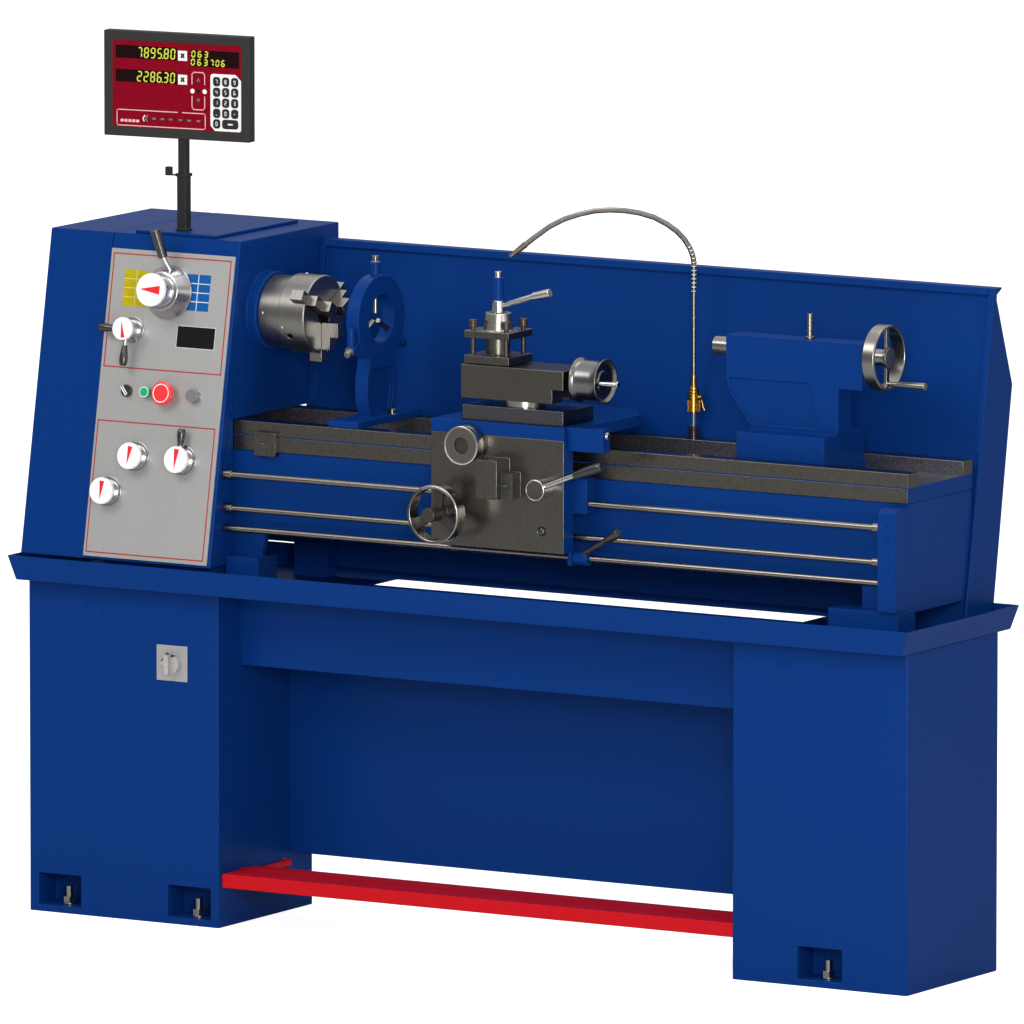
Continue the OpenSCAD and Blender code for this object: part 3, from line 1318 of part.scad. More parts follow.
module readout_case() color([0.2, 0.2, 0.22])
  translate([readout_x, readout_y, readout_z]) rotate([0, 0, readout_turn]) difference() {
    block([-readout_w / 2 - readout_off, readout_w / 2 - readout_off], [-readout_t / 2, readout_t / 2], [0, readout_h]);
    block([-readout_w / 2 - readout_off + readout_rim, readout_w / 2 - readout_off - readout_rim],
          [-readout_t / 2 - cut, -readout_t / 2 + 1.5], [readout_rim, readout_h - readout_rim]);
    bar_z(0, 0, [-cut, pin_h], 5 + shaft_play);
  }

left_cabinet();
right_cabinet();
chip_tray();
front_valance();
rear_panel();
brake_pedal();
anchor_bolts();
isolator_plate();
isolator_knob();
motor();
motor_pulley();
drive_belts();
bed();
rod_bracket();
leadscrew();
feed_rod();
control_rod();
carriage_stop();
headstock();
gear_cover();
headstock_lid();
control_panel();
speed_lever();
range_lever();
thread_knob();
feed_knob();
gear_knob();
start_button();
stop_button();
mode_switch();
spindle();
spindle_bearings();
input_shaft();
chuck_body();
chuck_jaw_1();
chuck_jaw_2();
chuck_jaw_3();
saddle();
apron();
carriage_wheel();
cross_dial();
feed_lever();
start_lever();
cross_slide();
top_slide_base();
top_slide();
top_slide_crank();
tool_post();
post_lever();
tailstock();
quill();
tailstock_wheel();
quill_lock();
steady_rest();
coolant_valve();
valve_lever();
coolant_pipe();
backsplash();
readout_case();
readout_post();
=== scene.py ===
import json
import math
import bpy
import bmesh
from mathutils import Matrix, Vector


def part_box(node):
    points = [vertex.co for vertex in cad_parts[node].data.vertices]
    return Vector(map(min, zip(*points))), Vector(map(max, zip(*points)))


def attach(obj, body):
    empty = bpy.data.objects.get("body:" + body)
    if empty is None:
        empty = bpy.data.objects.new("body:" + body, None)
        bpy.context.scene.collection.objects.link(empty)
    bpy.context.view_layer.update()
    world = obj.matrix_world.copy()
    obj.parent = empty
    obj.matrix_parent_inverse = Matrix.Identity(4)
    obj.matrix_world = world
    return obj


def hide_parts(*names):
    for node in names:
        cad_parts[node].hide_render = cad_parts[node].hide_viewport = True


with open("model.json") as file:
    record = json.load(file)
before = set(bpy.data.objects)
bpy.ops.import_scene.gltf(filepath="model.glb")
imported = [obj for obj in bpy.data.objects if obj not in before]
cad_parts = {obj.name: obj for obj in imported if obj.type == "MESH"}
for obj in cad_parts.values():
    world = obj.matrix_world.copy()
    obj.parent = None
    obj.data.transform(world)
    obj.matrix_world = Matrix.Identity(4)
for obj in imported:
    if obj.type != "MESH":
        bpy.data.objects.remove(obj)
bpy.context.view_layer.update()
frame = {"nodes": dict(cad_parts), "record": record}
record = frame["record"]
bodyOf = {node: body for body, nodes in record["behaviour"]["bodies"].items() for node in nodes}
jointOf = {joint["name"]: joint for joint in record["behaviour"]["joints"]}
mm = 0.001
sharpAngle = 38     # degrees: an edge that turns more is sharp, and gets its bevel

camera = {
    "azimuth": 31.053,     # degrees round the machine, from its front
    "elevation": 7.961,
    "roll": 0.0106,
    "target": (0.0, -5.8, 700.0),
    "across": 7.14,        # the lens stands this far right of the target
    "above": 91.12,
    "distance": 31842.0,
    "lens": 612.86,
}
light = {
    "world": 0.34,
    "floor": (0.9, 0.9, 0.9),
    "floorGlow": 0.84,     # how much of the floor's white is plain
    "key": 118.0,
    "front": 214.0,
    "glint": 85.0,         # a low card in front that only gloss answers to
    "fill": 20.0,
    "rim": 60.0,
    "room": 0.3,           # what polished metal mirrors: the room, its ceiling and a screen to the right
    "ceiling": 1.0,
    "screen": 1.0,
}


def tone(red, green, blue):
    def linear(value):
        value /= 255
        return value / 12.92 if value <= 0.04045 else ((value + 0.055) / 1.055) ** 2.4
    return (linear(red), linear(green), linear(blue), 1.0)


# shader helpers

def addNode(tree, kind, inputs=None, **settings):
    node = tree.nodes.new(kind)
    for key, value in settings.items():
        setattr(node, key, value)
    for key, value in (inputs or {}).items():
        if isinstance(value, bpy.types.NodeSocket):
            tree.links.new(value, node.inputs[key])
        else:
            node.inputs[key].default_value = value
    return node


def newGroup(name, inputs, outputs, kind="ShaderNodeTree"):
    # an input's default tells its kind, or is the kind itself where there is no default
    tree = bpy.data.node_groups.new(name, kind)
    kinds = {int: "NodeSocketInt", float: "NodeSocketFloat", tuple: "NodeSocketVector"}
    for label, start in inputs.items():
        socket = start if isinstance(start, str) else kinds[type(start)]
        made = tree.interface.new_socket(label, in_out="INPUT", socket_type=socket)
        if made.socket_type != start:
            made.default_value = start
    for label, socket in outputs.items():
        tree.interface.new_socket(label, in_out="OUTPUT", socket_type=socket)
    return tree, tree.nodes.new("NodeGroupInput").outputs, tree.nodes.new("NodeGroupOutput")


def math2(tree, operation, first, second):
    return addNode(tree, "ShaderNodeMath", {0: first, 1: second}, operation=operation).outputs[0]


def vector2(tree, operation, first, second=(0, 0, 0)):
    node = addNode(tree, "ShaderNodeVectorMath", {0: first, 1: second}, operation=operation)
    return node.outputs["Value" if operation in ("DOT_PRODUCT", "LENGTH") else "Vector"]


def remap(tree, value, fromLow, fromHigh, toLow=0.0, toHigh=1.0, **settings):
    return addNode(tree, "ShaderNodeMapRange", {
        "Value": value, "From Min": fromLow, "From Max": fromHigh, "To Min": toLow, "To Max": toHigh},
        **settings).outputs[0]


surfaceOutputs = {"Mask": "NodeSocketFloat", "Roughness": "NodeSocketFloat", "Normal": "NodeSocketVector"}


def surface(tree, given, sink, mask, gloss, relief):
    # what both groups put out: a mask, a roughness that follows gloss, and a normal from relief
    bump = addNode(tree, "ShaderNodeBump", {
        "Height": relief, "Strength": given["Height"], "Distance": given["Depth"]})
    rough = remap(tree, gloss, 0.3, 0.7, given["Low"], given["High"])
    for label, socket in zip(surfaceOutputs, (mask, rough, bump.outputs[0])):
        tree.links.new(socket, sink.inputs[label])
    return tree


def noise(tree, place, scale, detail, **more):
    inputs = {"Vector": place, "Scale": scale, "Detail": detail, **more}
    return addNode(tree, "ShaderNodeTexNoise", inputs).outputs["Fac"]


def makeGrain():
    # fine grain on a flat or cast surface
    tree, given, sink = newGroup("fineGrain", {
        "Scale": 900.0, "Stretch": (1, 1, 1), "Broad": 6.0, "Low": 0.3, "High": 0.5, "Height": 0.1,
        "Depth": 0.0002}, surfaceOutputs)
    place = addNode(tree, "ShaderNodeTexCoord").outputs["Object"]
    fine = noise(tree, vector2(tree, "MULTIPLY", place, given["Stretch"]), given["Scale"], 3.0, Roughness=0.6)
    cloud = noise(tree, place, given["Broad"], 4.0)
    mix = math2(tree, "ADD", math2(tree, "MULTIPLY", fine, 0.65), math2(tree, "MULTIPLY", cloud, 0.35))
    return surface(tree, given, sink, remap(tree, fine, 0.35, 0.65), mix, fine)


def makeTurning():
    # tool marks that run round an axis, as a lathe leaves them
    tree, given, sink = newGroup("turningMarks", {
        "Centre": (0, 0, 0), "Axis": (1, 0, 0), "Scale": 900.0, "Low": 0.15, "High": 0.35, "Height": 0.15,
        "Depth": 0.0001}, surfaceOutputs)
    place = addNode(tree, "ShaderNodeTexCoord").outputs["Object"]
    arm = vector2(tree, "SUBTRACT", place, given["Centre"])
    reach = vector2(tree, "DOT_PRODUCT", arm, given["Axis"])
    axial = addNode(tree, "ShaderNodeVectorMath", {0: given["Axis"], "Scale": reach}, operation="SCALE")
    radius = vector2(tree, "LENGTH", vector2(tree, "SUBTRACT", arm, axial.outputs[0]))
    rings = addNode(tree, "ShaderNodeCombineXYZ", {0: radius, 1: reach, 2: 0.0})
    fine = noise(tree, rings.outputs[0], given["Scale"], 2.0)
    return surface(tree, given, sink, fine, fine, fine)


grainGroup = makeGrain()
turningGroup = makeTurning()


def look(dark, pale, metallic, rough, scale, height, **more):
    # two tones that the grain mixes, the range of its gloss, and how coarse and how deep the grain is
    return {"tones": (tone(*dark), tone(*pale)), "metallic": metallic, "rough": rough, "scale": scale,
            "height": height, **more}


def printed(dark, pale, rough=(0.4, 0.5), **more):
    # ink, enamel and smooth plastic
    return look(dark, pale, 0.0, rough, 300.0, 0.02, **more)


def turned(dark, pale, axis, centre, rough):
    # steel that a lathe cut round a joint's axis
    return look(dark, pale, 1.0, rough, 1400.0, 0.05, axis=axis, centre=centre)


finishes = {
    "bluePaint": look((6, 49, 115), (9, 53, 121), 0.0, (0.28, 0.38), 420.0, 0.06, specular=0.05),
    "redPaint": look((196, 20, 30), (204, 26, 36), 0.0, (0.3, 0.42), 420.0, 0.06, specular=0.05),
    "panelGrey": look(
        (166, 165, 163), (172, 171, 169), 0.35, (0.32, 0.42), 700.0, 0.05, stretch=(1, 0.1, 0.1)),
    "groundSteel": look((78, 75, 70), (102, 99, 93), 1.0, (0.24, 0.36), 520.0, 0.3),
    "wayTop": look((84, 82, 84), (112, 110, 110), 1.0, (0.16, 0.3), 330.0, 0.15, stretch=(0.5, 1, 1)),
    # steel of the bed's deck; the slight blue in its tones is painted reflection of the blue paint round it
    "deckSteel": look((72, 72, 80), (122, 121, 128), 0.8, (0.3, 0.42), 420.0, 0.14),
    "brightSteel": look((138, 135, 130), (160, 157, 151), 1.0, (0.18, 0.3), 600.0, 0.08),
    "brownSteel": look((74, 64, 54), (92, 80, 68), 0.7, (0.35, 0.5), 500.0, 0.1),
    "chrome": look((166, 165, 164), (180, 179, 177), 1.0, (0.09, 0.16), 300.0, 0.02),
    "satinChrome": look((166, 165, 166), (184, 183, 183), 1.0, (0.16, 0.26), 420.0, 0.08),
    "castDark": look((58, 56, 55), (74, 72, 70), 0.6, (0.38, 0.52), 420.0, 0.25),
    "gripBlack": look((26, 26, 26), (36, 35, 34), 0.0, (0.22, 0.34), 500.0, 0.08, coat=0.3),
    "caseBlack": look((46, 46, 46), (53, 52, 51), 0.0, (0.42, 0.55), 900.0, 0.15, specular=0.1),
    "postBlack": look((32, 32, 32), (42, 41, 40), 0.0, (0.35, 0.48), 600.0, 0.1, specular=0.2),
    "brass": look((142, 112, 48), (166, 134, 66), 1.0, (0.2, 0.32), 500.0, 0.06),
    "whiteDisc": printed((244, 244, 244), (250, 250, 250), (0.3, 0.4)),
    "markRed": printed((224, 18, 26), (230, 24, 32), (0.35, 0.45)),
    "lineRed": printed((160, 36, 42), (168, 42, 48)),
    "chartYellow": printed((178, 162, 4), (186, 170, 10), specular=0.1),
    "chartBlue": printed((10, 82, 150), (14, 88, 156), specular=0.1),
    "chartLine": printed((196, 200, 200), (204, 208, 208)),
    "chartDull": printed((204, 198, 110), (210, 204, 116)),
    "plateBlack": printed((8, 8, 8), (12, 12, 12), (0.3, 0.4), specular=0.2),
    "buttonRed": printed((232, 44, 50), (240, 52, 58), (0.25, 0.35), coat=0.4),
    "buttonGreen": printed((6, 160, 106), (12, 168, 112), (0.25, 0.35), coat=0.4),
    "lampGrey": printed((112, 112, 114), (120, 120, 122), (0.2, 0.3), coat=0.3),
    "faceRed": look((122, 2, 24), (132, 6, 29), 0.0, (0.3, 0.4), 200.0, 0.02, specular=0.06),
    "windowDark": look((22, 3, 4), (27, 4, 5), 0.0, (0.3, 0.4), 200.0, 0.01, specular=0.1),
    "keyWhite": printed((232, 232, 230), (238, 238, 236), (0.35, 0.45)),
    "keyBlack": look((20, 20, 20), (28, 28, 28), 0.0, (0.3, 0.4), 400.0, 0.04),
    "keyTeal": printed((30, 130, 122), (38, 140, 130), (0.35, 0.45)),
    "printPink": printed((226, 176, 178), (232, 184, 186), (0.35, 0.45)),
    "digitYellow": look((176, 182, 52), (190, 196, 62), 0.0, (0.4, 0.5), 300.0, 0.0, glow=0.4),
    "rodSteel": look((112, 107, 102), (128, 122, 117), 1.0, (0.2, 0.32), 500.0, 0.08),
    "jawSteel": look((128, 125, 120), (146, 142, 136), 1.0, (0.18, 0.3), 420.0, 0.15),
    "slideSteel": look((74, 75, 80), (98, 98, 101), 1.0, (0.2, 0.32), 520.0, 0.3),
    "hubSteel": look((84, 82, 78), (102, 100, 95), 1.0, (0.22, 0.34), 520.0, 0.2),
    "boltBrown": look((52, 44, 38), (66, 56, 48), 0.5, (0.3, 0.45), 420.0, 0.1),
    "tubeBlue": look((112, 122, 140), (128, 138, 154), 0.7, (0.28, 0.38), 420.0, 0.06),
    # dark steel of the wheel's spokes and hub; on the cross dial's recess the same dark is painted shade
    "spokeDark": look((46, 43, 40), (58, 55, 51), 0.4, (0.34, 0.46), 420.0, 0.15),
    "switchGrey": look((168, 166, 162), (176, 174, 170), 0.0, (0.22, 0.32), 420.0, 0.04, coat=0.2),
    "rimSteel": look((176, 173, 168), (194, 191, 186), 1.0, (0.16, 0.26), 420.0, 0.04),
    "beltRubber": look((26, 26, 26), (34, 34, 33), 0.0, (0.6, 0.8), 500.0, 0.3),
    "chuckSteel": turned((120, 118, 116), (136, 134, 130), (1, 0, 0), 'spindle_turn', (0.27, 0.37)),
    "dialSteel": turned((106, 103, 98), (118, 115, 109), (0, 1, 0), 'cross_dial_turn', (0.22, 0.32)),
    "wheelSteel": turned((140, 138, 132), (160, 158, 151), (0, 1, 0), 'carriage_wheel_turn', (0.16, 0.3)),
    "crankSteel": turned((104, 103, 103), (116, 115, 114), (1, 0, 0), 'top_slide_crank_turn', (0.22, 0.32)),
    "tailSteel": turned((116, 114, 109), (132, 130, 124), (1, 0, 0), 'tailstock_wheel_turn', (0.22, 0.32)),
    "postSteel": turned((150, 148, 142), (170, 168, 161), (0, 0, 1), 'tool_post_turn', (0.18, 0.32)),
}
finished = {}


def finish(name):
    if name in finished:
        return finished[name]
    facts = finishes[name]
    material = bpy.data.materials.new(name)
    material.use_nodes = True
    tree = material.node_tree
    skin = tree.nodes["Principled BSDF"]
    dark, pale = facts["tones"]
    low, high = facts["rough"]
    values = {"Scale": facts["scale"], "Height": facts["height"], "Low": low, "High": high}
    if "axis" in facts:
        values.update(Axis=facts["axis"], Centre=Vector(jointOf[facts["centre"]]["pos_m"]))
    else:
        values["Stretch"] = facts.get("stretch", (1, 1, 1))
    group = addNode(tree, "ShaderNodeGroup")
    group.node_tree = turningGroup if "axis" in facts else grainGroup
    for label, value in values.items():
        group.inputs[label].default_value = value
    mix = addNode(tree, "ShaderNodeMix", {"Factor": group.outputs["Mask"]}, data_type="RGBA")
    mix.inputs[6].default_value, mix.inputs[7].default_value = dark, pale
    for socket, label in ((mix.outputs[2], "Base Color"), (group.outputs["Roughness"], "Roughness"),
                          (group.outputs["Normal"], "Normal")):
        tree.links.new(socket, skin.inputs[label])
    plain = {"Metallic": facts["metallic"], "Coat Weight": facts.get("coat", 0.0), "Coat Roughness": 0.12,
             "Specular IOR Level": facts.get("specular", 0.5)}
    if "glow" in facts:
        plain.update({"Emission Color": pale, "Emission Strength": facts["glow"]})
    for label, value in plain.items():
        skin.inputs[label].default_value = value
    material.diffuse_color = pale
    finished[name] = material
    return material


# mesh helpers: every size below is in millimetres, and a finished mesh is in metres

def newObject(name, data):
    obj = bpy.data.objects.new(name, data)
    bpy.context.scene.collection.objects.link(obj)
    return obj


def fromBmesh(bm, name):
    mesh = bpy.data.meshes.new(name)
    bm.to_mesh(mesh)
    bm.free()
    return newObject(name, mesh)


def settled(obj):
    # the modifiers' result becomes the plain mesh
    graph = bpy.context.evaluated_depsgraph_get()
    mesh = bpy.data.meshes.new_from_object(obj.evaluated_get(graph))
    obj.modifiers.clear()
    obj.data = mesh


def bevelWeights(mesh, width, angle):
    # each sharp edge gets as much of the width as its neighbours leave room for
    bm = bmesh.new()
    bm.from_mesh(mesh)
    layer = bm.edges.layers.float.new("bevel_weight_edge")
    limit = math.radians(angle)
    sharp = {edge.index for edge in bm.edges if len(edge.link_faces) == 2 and edge.calc_face_angle(0) > limit}
    for edge in (edge for edge in bm.edges if edge.index in sharp):
        room = width
        length = edge.calc_length()
        for face in edge.link_faces:
            shrink = 0.0
            for vert in edge.verts:
                other = next((e for e in face.edges if e is not edge and vert in e.verts), None)
                if other is None:
                    continue
                first = (edge.other_vert(vert).co - vert.co).normalized()
                second = (other.other_vert(vert).co - vert.co).normalized()
                turn = first.angle(second, 0.0)
                if other.index in sharp:
                    if turn < 3.0:
                        shrink += 1 / max(0.2, math.tan(turn / 2))
                elif math.sin(turn) > 0.3:
                    room = min(room, 0.46 * other.calc_length() * math.sin(turn))
                if other.index in sharp and math.sin(turn) > 0.5:
                    room = min(room, 0.46 * other.calc_length())
            if shrink > 0:
                room = min(room, 0.9 * length / shrink)
        edge[layer] = room / width if room > 0.05 * mm else 0.0
    bm.to_mesh(mesh)
    bm.free()


def softEdges(obj, width, angle=sharpAngle):
    mesh = obj.data
    mesh.polygons.foreach_set("use_smooth", [True] * len(mesh.polygons))
    if width > 0:
        bevelWeights(mesh, width * mm, angle)
    mesh.set_sharp_from_angle(angle=math.radians(angle))
    if width > 0:
        bevel = obj.modifiers.new("edges", "BEVEL")
        bevel.width = width * mm
        bevel.segments = 2
        bevel.limit_method = "WEIGHT"
        bevel.use_clamp_overlap = False
        bevel.miter_outer = "MITER_ARC"
        weighted = obj.modifiers.new("normals", "WEIGHTED_NORMAL")
        weighted.mode = "FACE_AREA"
        weighted.weight = 100
        weighted.keep_sharp = True
        settled(obj)


def give(obj, finishNames):
    for name in [finishNames] if isinstance(finishNames, str) else finishNames:
        obj.data.materials.append(finish(name))


def belong(obj, node):
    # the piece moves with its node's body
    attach(obj, bodyOf[node])


def dress(node, finishNames, edge, pick=None, cut=None):
    # a merged copy of the node, with soft edges and a finish for each region; cut parts its faces at a height
    bm = bmesh.new()
    bm.from_mesh(frame["nodes"][node].data)
    bmesh.ops.remove_doubles(bm, verts=bm.verts, dist=2e-6)
    bmesh.ops.dissolve_limit(bm, angle_limit=math.radians(0.3), verts=bm.verts, edges=bm.edges)
    if cut:
        bmesh.ops.bisect_plane(bm, geom=[*bm.verts, *bm.edges, *bm.faces], plane_co=(0, 0, cut * mm),
                               plane_no=(0, 0, 1))
    obj = fromBmesh(bm, node + "Skin")
    if pick:
        for face in obj.data.polygons:
            face.material_index = pick(face.center / mm, face.normal)
    give(obj, finishNames)
    softEdges(obj, edge)
    belong(obj, node)
    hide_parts(node)


def build(name, finishNames, shape, node, edge=0.0, angle=sharpAngle):
    # a piece of our own, which shape(bm) draws in millimetres and which belongs with a node
    bm = bmesh.new()
    shape(bm)
    bmesh.ops.recalc_face_normals(bm, faces=bm.faces)
    for vert in bm.verts:
        vert.co *= mm
    obj = fromBmesh(bm, name)
    give(obj, finishNames)
    softEdges(obj, edge, angle)
    belong(obj, node)
    return obj


def rebuild(node, finishNames, shape, edge=0.3, angle=sharpAngle):
    # a piece of our own in a node's place, with the node's name in camel case
    first, *rest = node.split("_")
    obj = build(first + "".join(word.title() for word in rest), finishNames, shape, node, edge, angle)
    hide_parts(node)


def fill(faces, index):
    for face in faces:
        face.material_index = index


def addBox(bm, low, high, place=Matrix(), index=0):
    made = bmesh.ops.create_cube(bm, size=1.0)["verts"]
    for vert in made:
        corner = Vector([low[i] + (vert.co[i] + 0.5) * (high[i] - low[i]) for i in range(3)])
        vert.co = place @ corner
    fill({face for vert in made for face in vert.link_faces}, index)


def addTurned(bm, profile, place, sides=64, index=0, pick=None):
    # profile: (radius, height) points from the bottom up, closed onto the axis where the radius is zero
    spokes = [(math.cos(math.tau * i / sides), math.sin(math.tau * i / sides)) for i in range(sides)]
    rings = []
    for radius, height in profile:
        around = [(radius * x, radius * y) for x, y in spokes] if radius > 1e-6 else [(0, 0)]
        rings.append([bm.verts.new(place @ Vector((x, y, height))) for x, y in around])
    for level, (low, high) in enumerate(zip(rings, rings[1:])):
        for i in range(sides):
            j = (i + 1) % sides
            if len(low) == 1:
                corners = (low[0], high[j], high[i])
            elif len(high) == 1:
                corners = (low[i], low[j], high[0])
            else:
                corners = (low[i], low[j], high[j], high[i])
            bm.faces.new(corners).material_index = pick(level) if pick else index


def addRod(bm, place, radius, low, high, sides=40, index=0):
    addTurned(bm, [(0, low), (radius, low), (radius, high), (0, high)], place, sides, index)


def addPrism(bm, outline, low, high, place=Matrix(), index=0):
    bottom = [bm.verts.new(place @ Vector((x, y, low))) for x, y in outline]
    top = [bm.verts.new(place @ Vector((x, y, high))) for x, y in outline]
    count = len(outline)
    faces = [bm.faces.new(bottom[::-1]), bm.faces.new(top)]
    for i in range(count):
        j = (i + 1) % count
        faces.append(bm.faces.new((bottom[i], bottom[j], top[j], top[i])))
    fill(faces, index)


def barrel(length, radius, neck=0.62, tip=0.72, steps=14):
    # a hand grip that swells towards its outer end
    points = [(0, 0), (radius * neck * 0.9, 0), (radius * neck, 1.0)]
    for i in range(1, steps):
        t = i / steps
        swell = neck + (1 - neck) * math.sin(math.pi * min(1, t / 0.68) / 2) ** 1.3
        if t > 0.68:
            swell = 1 - (1 - tip) * ((t - 0.68) / 0.32) ** 2
        points.append((radius * swell, 1 + t * (length - 1)))
    points += [(radius * tip * 0.82, length), (0, length)]
    return points


def cornered(x0, x1, y0, y1, cut):
    # the points of a rounded outline, from its lower left corner round
    points = []
    steps = 4
    for cx, cy, start in ((x0 + cut, y0 + cut, 180), (x1 - cut, y0 + cut, 270), (x1 - cut, y1 - cut, 0),
                          (x0 + cut, y1 - cut, 90)):
        for i in range(steps + 1):
            angle = math.radians(start + 90 * i / steps)
            points.append((cx + cut * math.cos(angle), cy + cut * math.sin(angle)))
    return points


def along(start, end):
    # a frame whose Z runs from start to end
    start, end = Vector(start), Vector(end)
    turn = (end - start).to_track_quat("Z", "Y").to_matrix().to_4x4()
    return Matrix.Translation(start) @ turn


forwards, backwards, rightwards, leftwards, upwards = (0, -1, 0), (0, 1, 0), (1, 0, 0), (-1, 0, 0), (0, 0, 1)


def onAxis(x, y, z, axis):
    return along((x, y, z), Vector((x, y, z)) + Vector(axis) * 10)


def facing(origin, right, up, out):
    place = Matrix.Identity(4)
    for i, axis in enumerate((right, up, out)):
        place.col[i][:3] = Vector(axis).normalized()
    place.col[3][:3] = Vector(origin)
    return place


def jointPoint(name):
    return Vector(jointOf[name]["pos_m"]) / mm


def lowCorner(node):
    return Vector(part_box(node)[0]) / mm


def highCorner(node):
    return Vector(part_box(node)[1]) / mm


# geometry nodes: copies on a ring, on a grid and along a path

def copyTree(name, **inputs):
    return newGroup(name, {"Copy": "NodeSocketGeometry", **inputs, "Finish": "NodeSocketMaterial"},
                    {"Copies": "NodeSocketGeometry"}, "GeometryNodeTree")


def closeTree(tree, given, sink, points, copy, turn=None):
    # a copy on every point, as one real mesh with the finish
    placed = addNode(tree, "GeometryNodeInstanceOnPoints", {
        "Points": points, "Instance": copy, **({"Rotation": turn} if turn else {})})
    real = addNode(tree, "GeometryNodeRealizeInstances", {0: placed.outputs[0]})
    painted = addNode(tree, "GeometryNodeSetMaterial", {
        "Geometry": real.outputs[0], "Material": given["Finish"]})
    tree.links.new(painted.outputs[0], sink.inputs[0])
    return tree


def makeRingTree():
    # copies round Z, each with its own X pointing outwards
    tree, given, sink = copyTree("copiesOnRing", Count=6, Radius=10.0)
    circle = addNode(tree, "GeometryNodeMeshCircle", {"Vertices": given["Count"], "Radius": given["Radius"]})
    step = math2(tree, "DIVIDE", math.tau, given["Count"])
    turn = math2(tree, "MULTIPLY", addNode(tree, "GeometryNodeInputIndex").outputs[0], step)
    euler = addNode(tree, "ShaderNodeCombineXYZ", {2: turn})
    spin = addNode(tree, "FunctionNodeEulerToRotation", {0: euler.outputs[0]})
    return closeTree(tree, given, sink, circle.outputs[0], given["Copy"], spin.outputs[0])


def makeGridTree():
    # copies on a flat grid, centred on the origin
    tree, given, sink = copyTree("copiesOnGrid", Columns=3, Rows=3, Across=10.0, Upwards=10.0)
    width, height = (math2(tree, "MULTIPLY", math2(tree, "SUBTRACT", given[count], 1.0), given[step])
                     for count, step in (("Columns", "Across"), ("Rows", "Upwards")))
    grid = addNode(tree, "GeometryNodeMeshGrid", {
        "Size X": width, "Size Y": height, "Vertices X": given["Columns"], "Vertices Y": given["Rows"]})
    return closeTree(tree, given, sink, grid.outputs[0], given["Copy"])


def makeRibTree():
    # round ribs along a path, square to it
    tree, given, sink = copyTree("ribsOnPath", Count=12, Radius=4.0, Thickness=1.0)
    path = addNode(tree, "GeometryNodeMeshToCurve", {0: given["Copy"]})
    even = addNode(tree, "GeometryNodeResampleCurve", {"Curve": path.outputs[0], "Count": given["Count"]})
    circle = "GeometryNodeCurvePrimitiveCircle"
    ring, bead = (addNode(tree, circle, {"Resolution": sides, "Radius": given[radius]}).outputs[0]
                  for sides, radius in ((28, "Radius"), (10, "Thickness")))
    rib = addNode(tree, "GeometryNodeCurveToMesh", {0: ring, 1: bead})
    tangent = addNode(tree, "GeometryNodeInputTangent").outputs[0]
    turn = addNode(tree, "FunctionNodeAlignRotationToVector", {"Vector": tangent}, axis="Z")
    return closeTree(tree, given, sink, even.outputs[0], rib.outputs[0], turn.outputs[0])


ringTree = makeRingTree()
gridTree = makeGridTree()
ribTree = makeRibTree()


def repeat(name, tree, shape, finishName, node, place, **values):
    # shape(bm) draws one copy in millimetres, the tree repeats it, and place puts the result beside a node
    bm = bmesh.new()
    shape(bm)
    if bm.faces:
        bmesh.ops.recalc_face_normals(bm, faces=bm.faces)
    obj = fromBmesh(bm, name)
    modifier = obj.modifiers.new("repeat", "NODES")
    modifier.node_group = tree
    values["Finish"] = finish(finishName)
    for item in tree.interface.items_tree:
        if item.in_out == "INPUT" and item.name in values:
            modifier[item.identifier] = values[item.name]
    settled(obj)
    obj.data.transform(Matrix.Scale(mm, 4) @ place)
    obj.data.polygons.foreach_set("use_smooth", [True] * len(obj.data.polygons))
    obj.data.set_sharp_from_angle(angle=math.radians(sharpAngle))
    belong(obj, node)


# the front panel's own frame: right, up the slope, and out of it
faceOut = Vector(jointOf["speed_lever_turn"]["axis"]).normalized()
faceRight = Vector((1, 0, 0))
faceUp = faceOut.cross(faceRight).normalized()
panel = {
    "thick": 3.3,                      # height of the knobs' backs over the headstock
    "leverAt": (271.0, 500.0),         # the speed lever, from the machine's left and up the slope
    "frames": [(144, 397, 356, 565), (143, 396, 13, 256)],
    "line": 2.4,
    "charts": [(171, 223, 469.5, 536.5), (305, 357, 469.5, 536.5)],
    "chartRows": 4,
    "plate": (296, 377, 401, 440),
    "print": 0.25,
    "lamp": (346.0, 313.5),            # the pilot lamp
    "shaft": -16.2,                    # how deep the knobs' shafts go
    "buttonsOut": 7.3,                 # height of the buttons' backs
    "switchTurn": 38,                  # degrees
}
faceZero = jointPoint("speed_lever_turn") - faceRight * panel["leverAt"][0] - faceUp * panel["leverAt"][1]


def onFace(right, up, out=0.0):
    return facing(faceZero + faceRight * right + faceUp * up + faceOut * out, faceRight, faceUp, faceOut)


def turnBy(degrees):
    return Matrix.Rotation(math.radians(degrees), 4, "Z")


print("castings and sheet metal")


def bedPick(at, normal):
    # blue below the plate and on its ends, ground on the ways, rougher on the deck
    if at.z < wayPlate or (abs(normal.x) > 0.9 and at.z < deckTop):
        return 0
    if normal.z > 0.9:
        return 2 if at.z > deckTop + 5 else 3
    if abs(at.z - deckTop) < 1.5 and at.y < 0:
        return 0
    return 3 if normal.y < -0.9 and at.y > 0 else 1


def apronPick(at, normal):
    # only the front plate's face and what stands on it are bare metal
    if at.y > apronFront + 1.5:
        return 1
    if 112.5 < at.x < 137 and at.y < apronFront - 0.5 and at.z > 840:
        return 2
    return 0


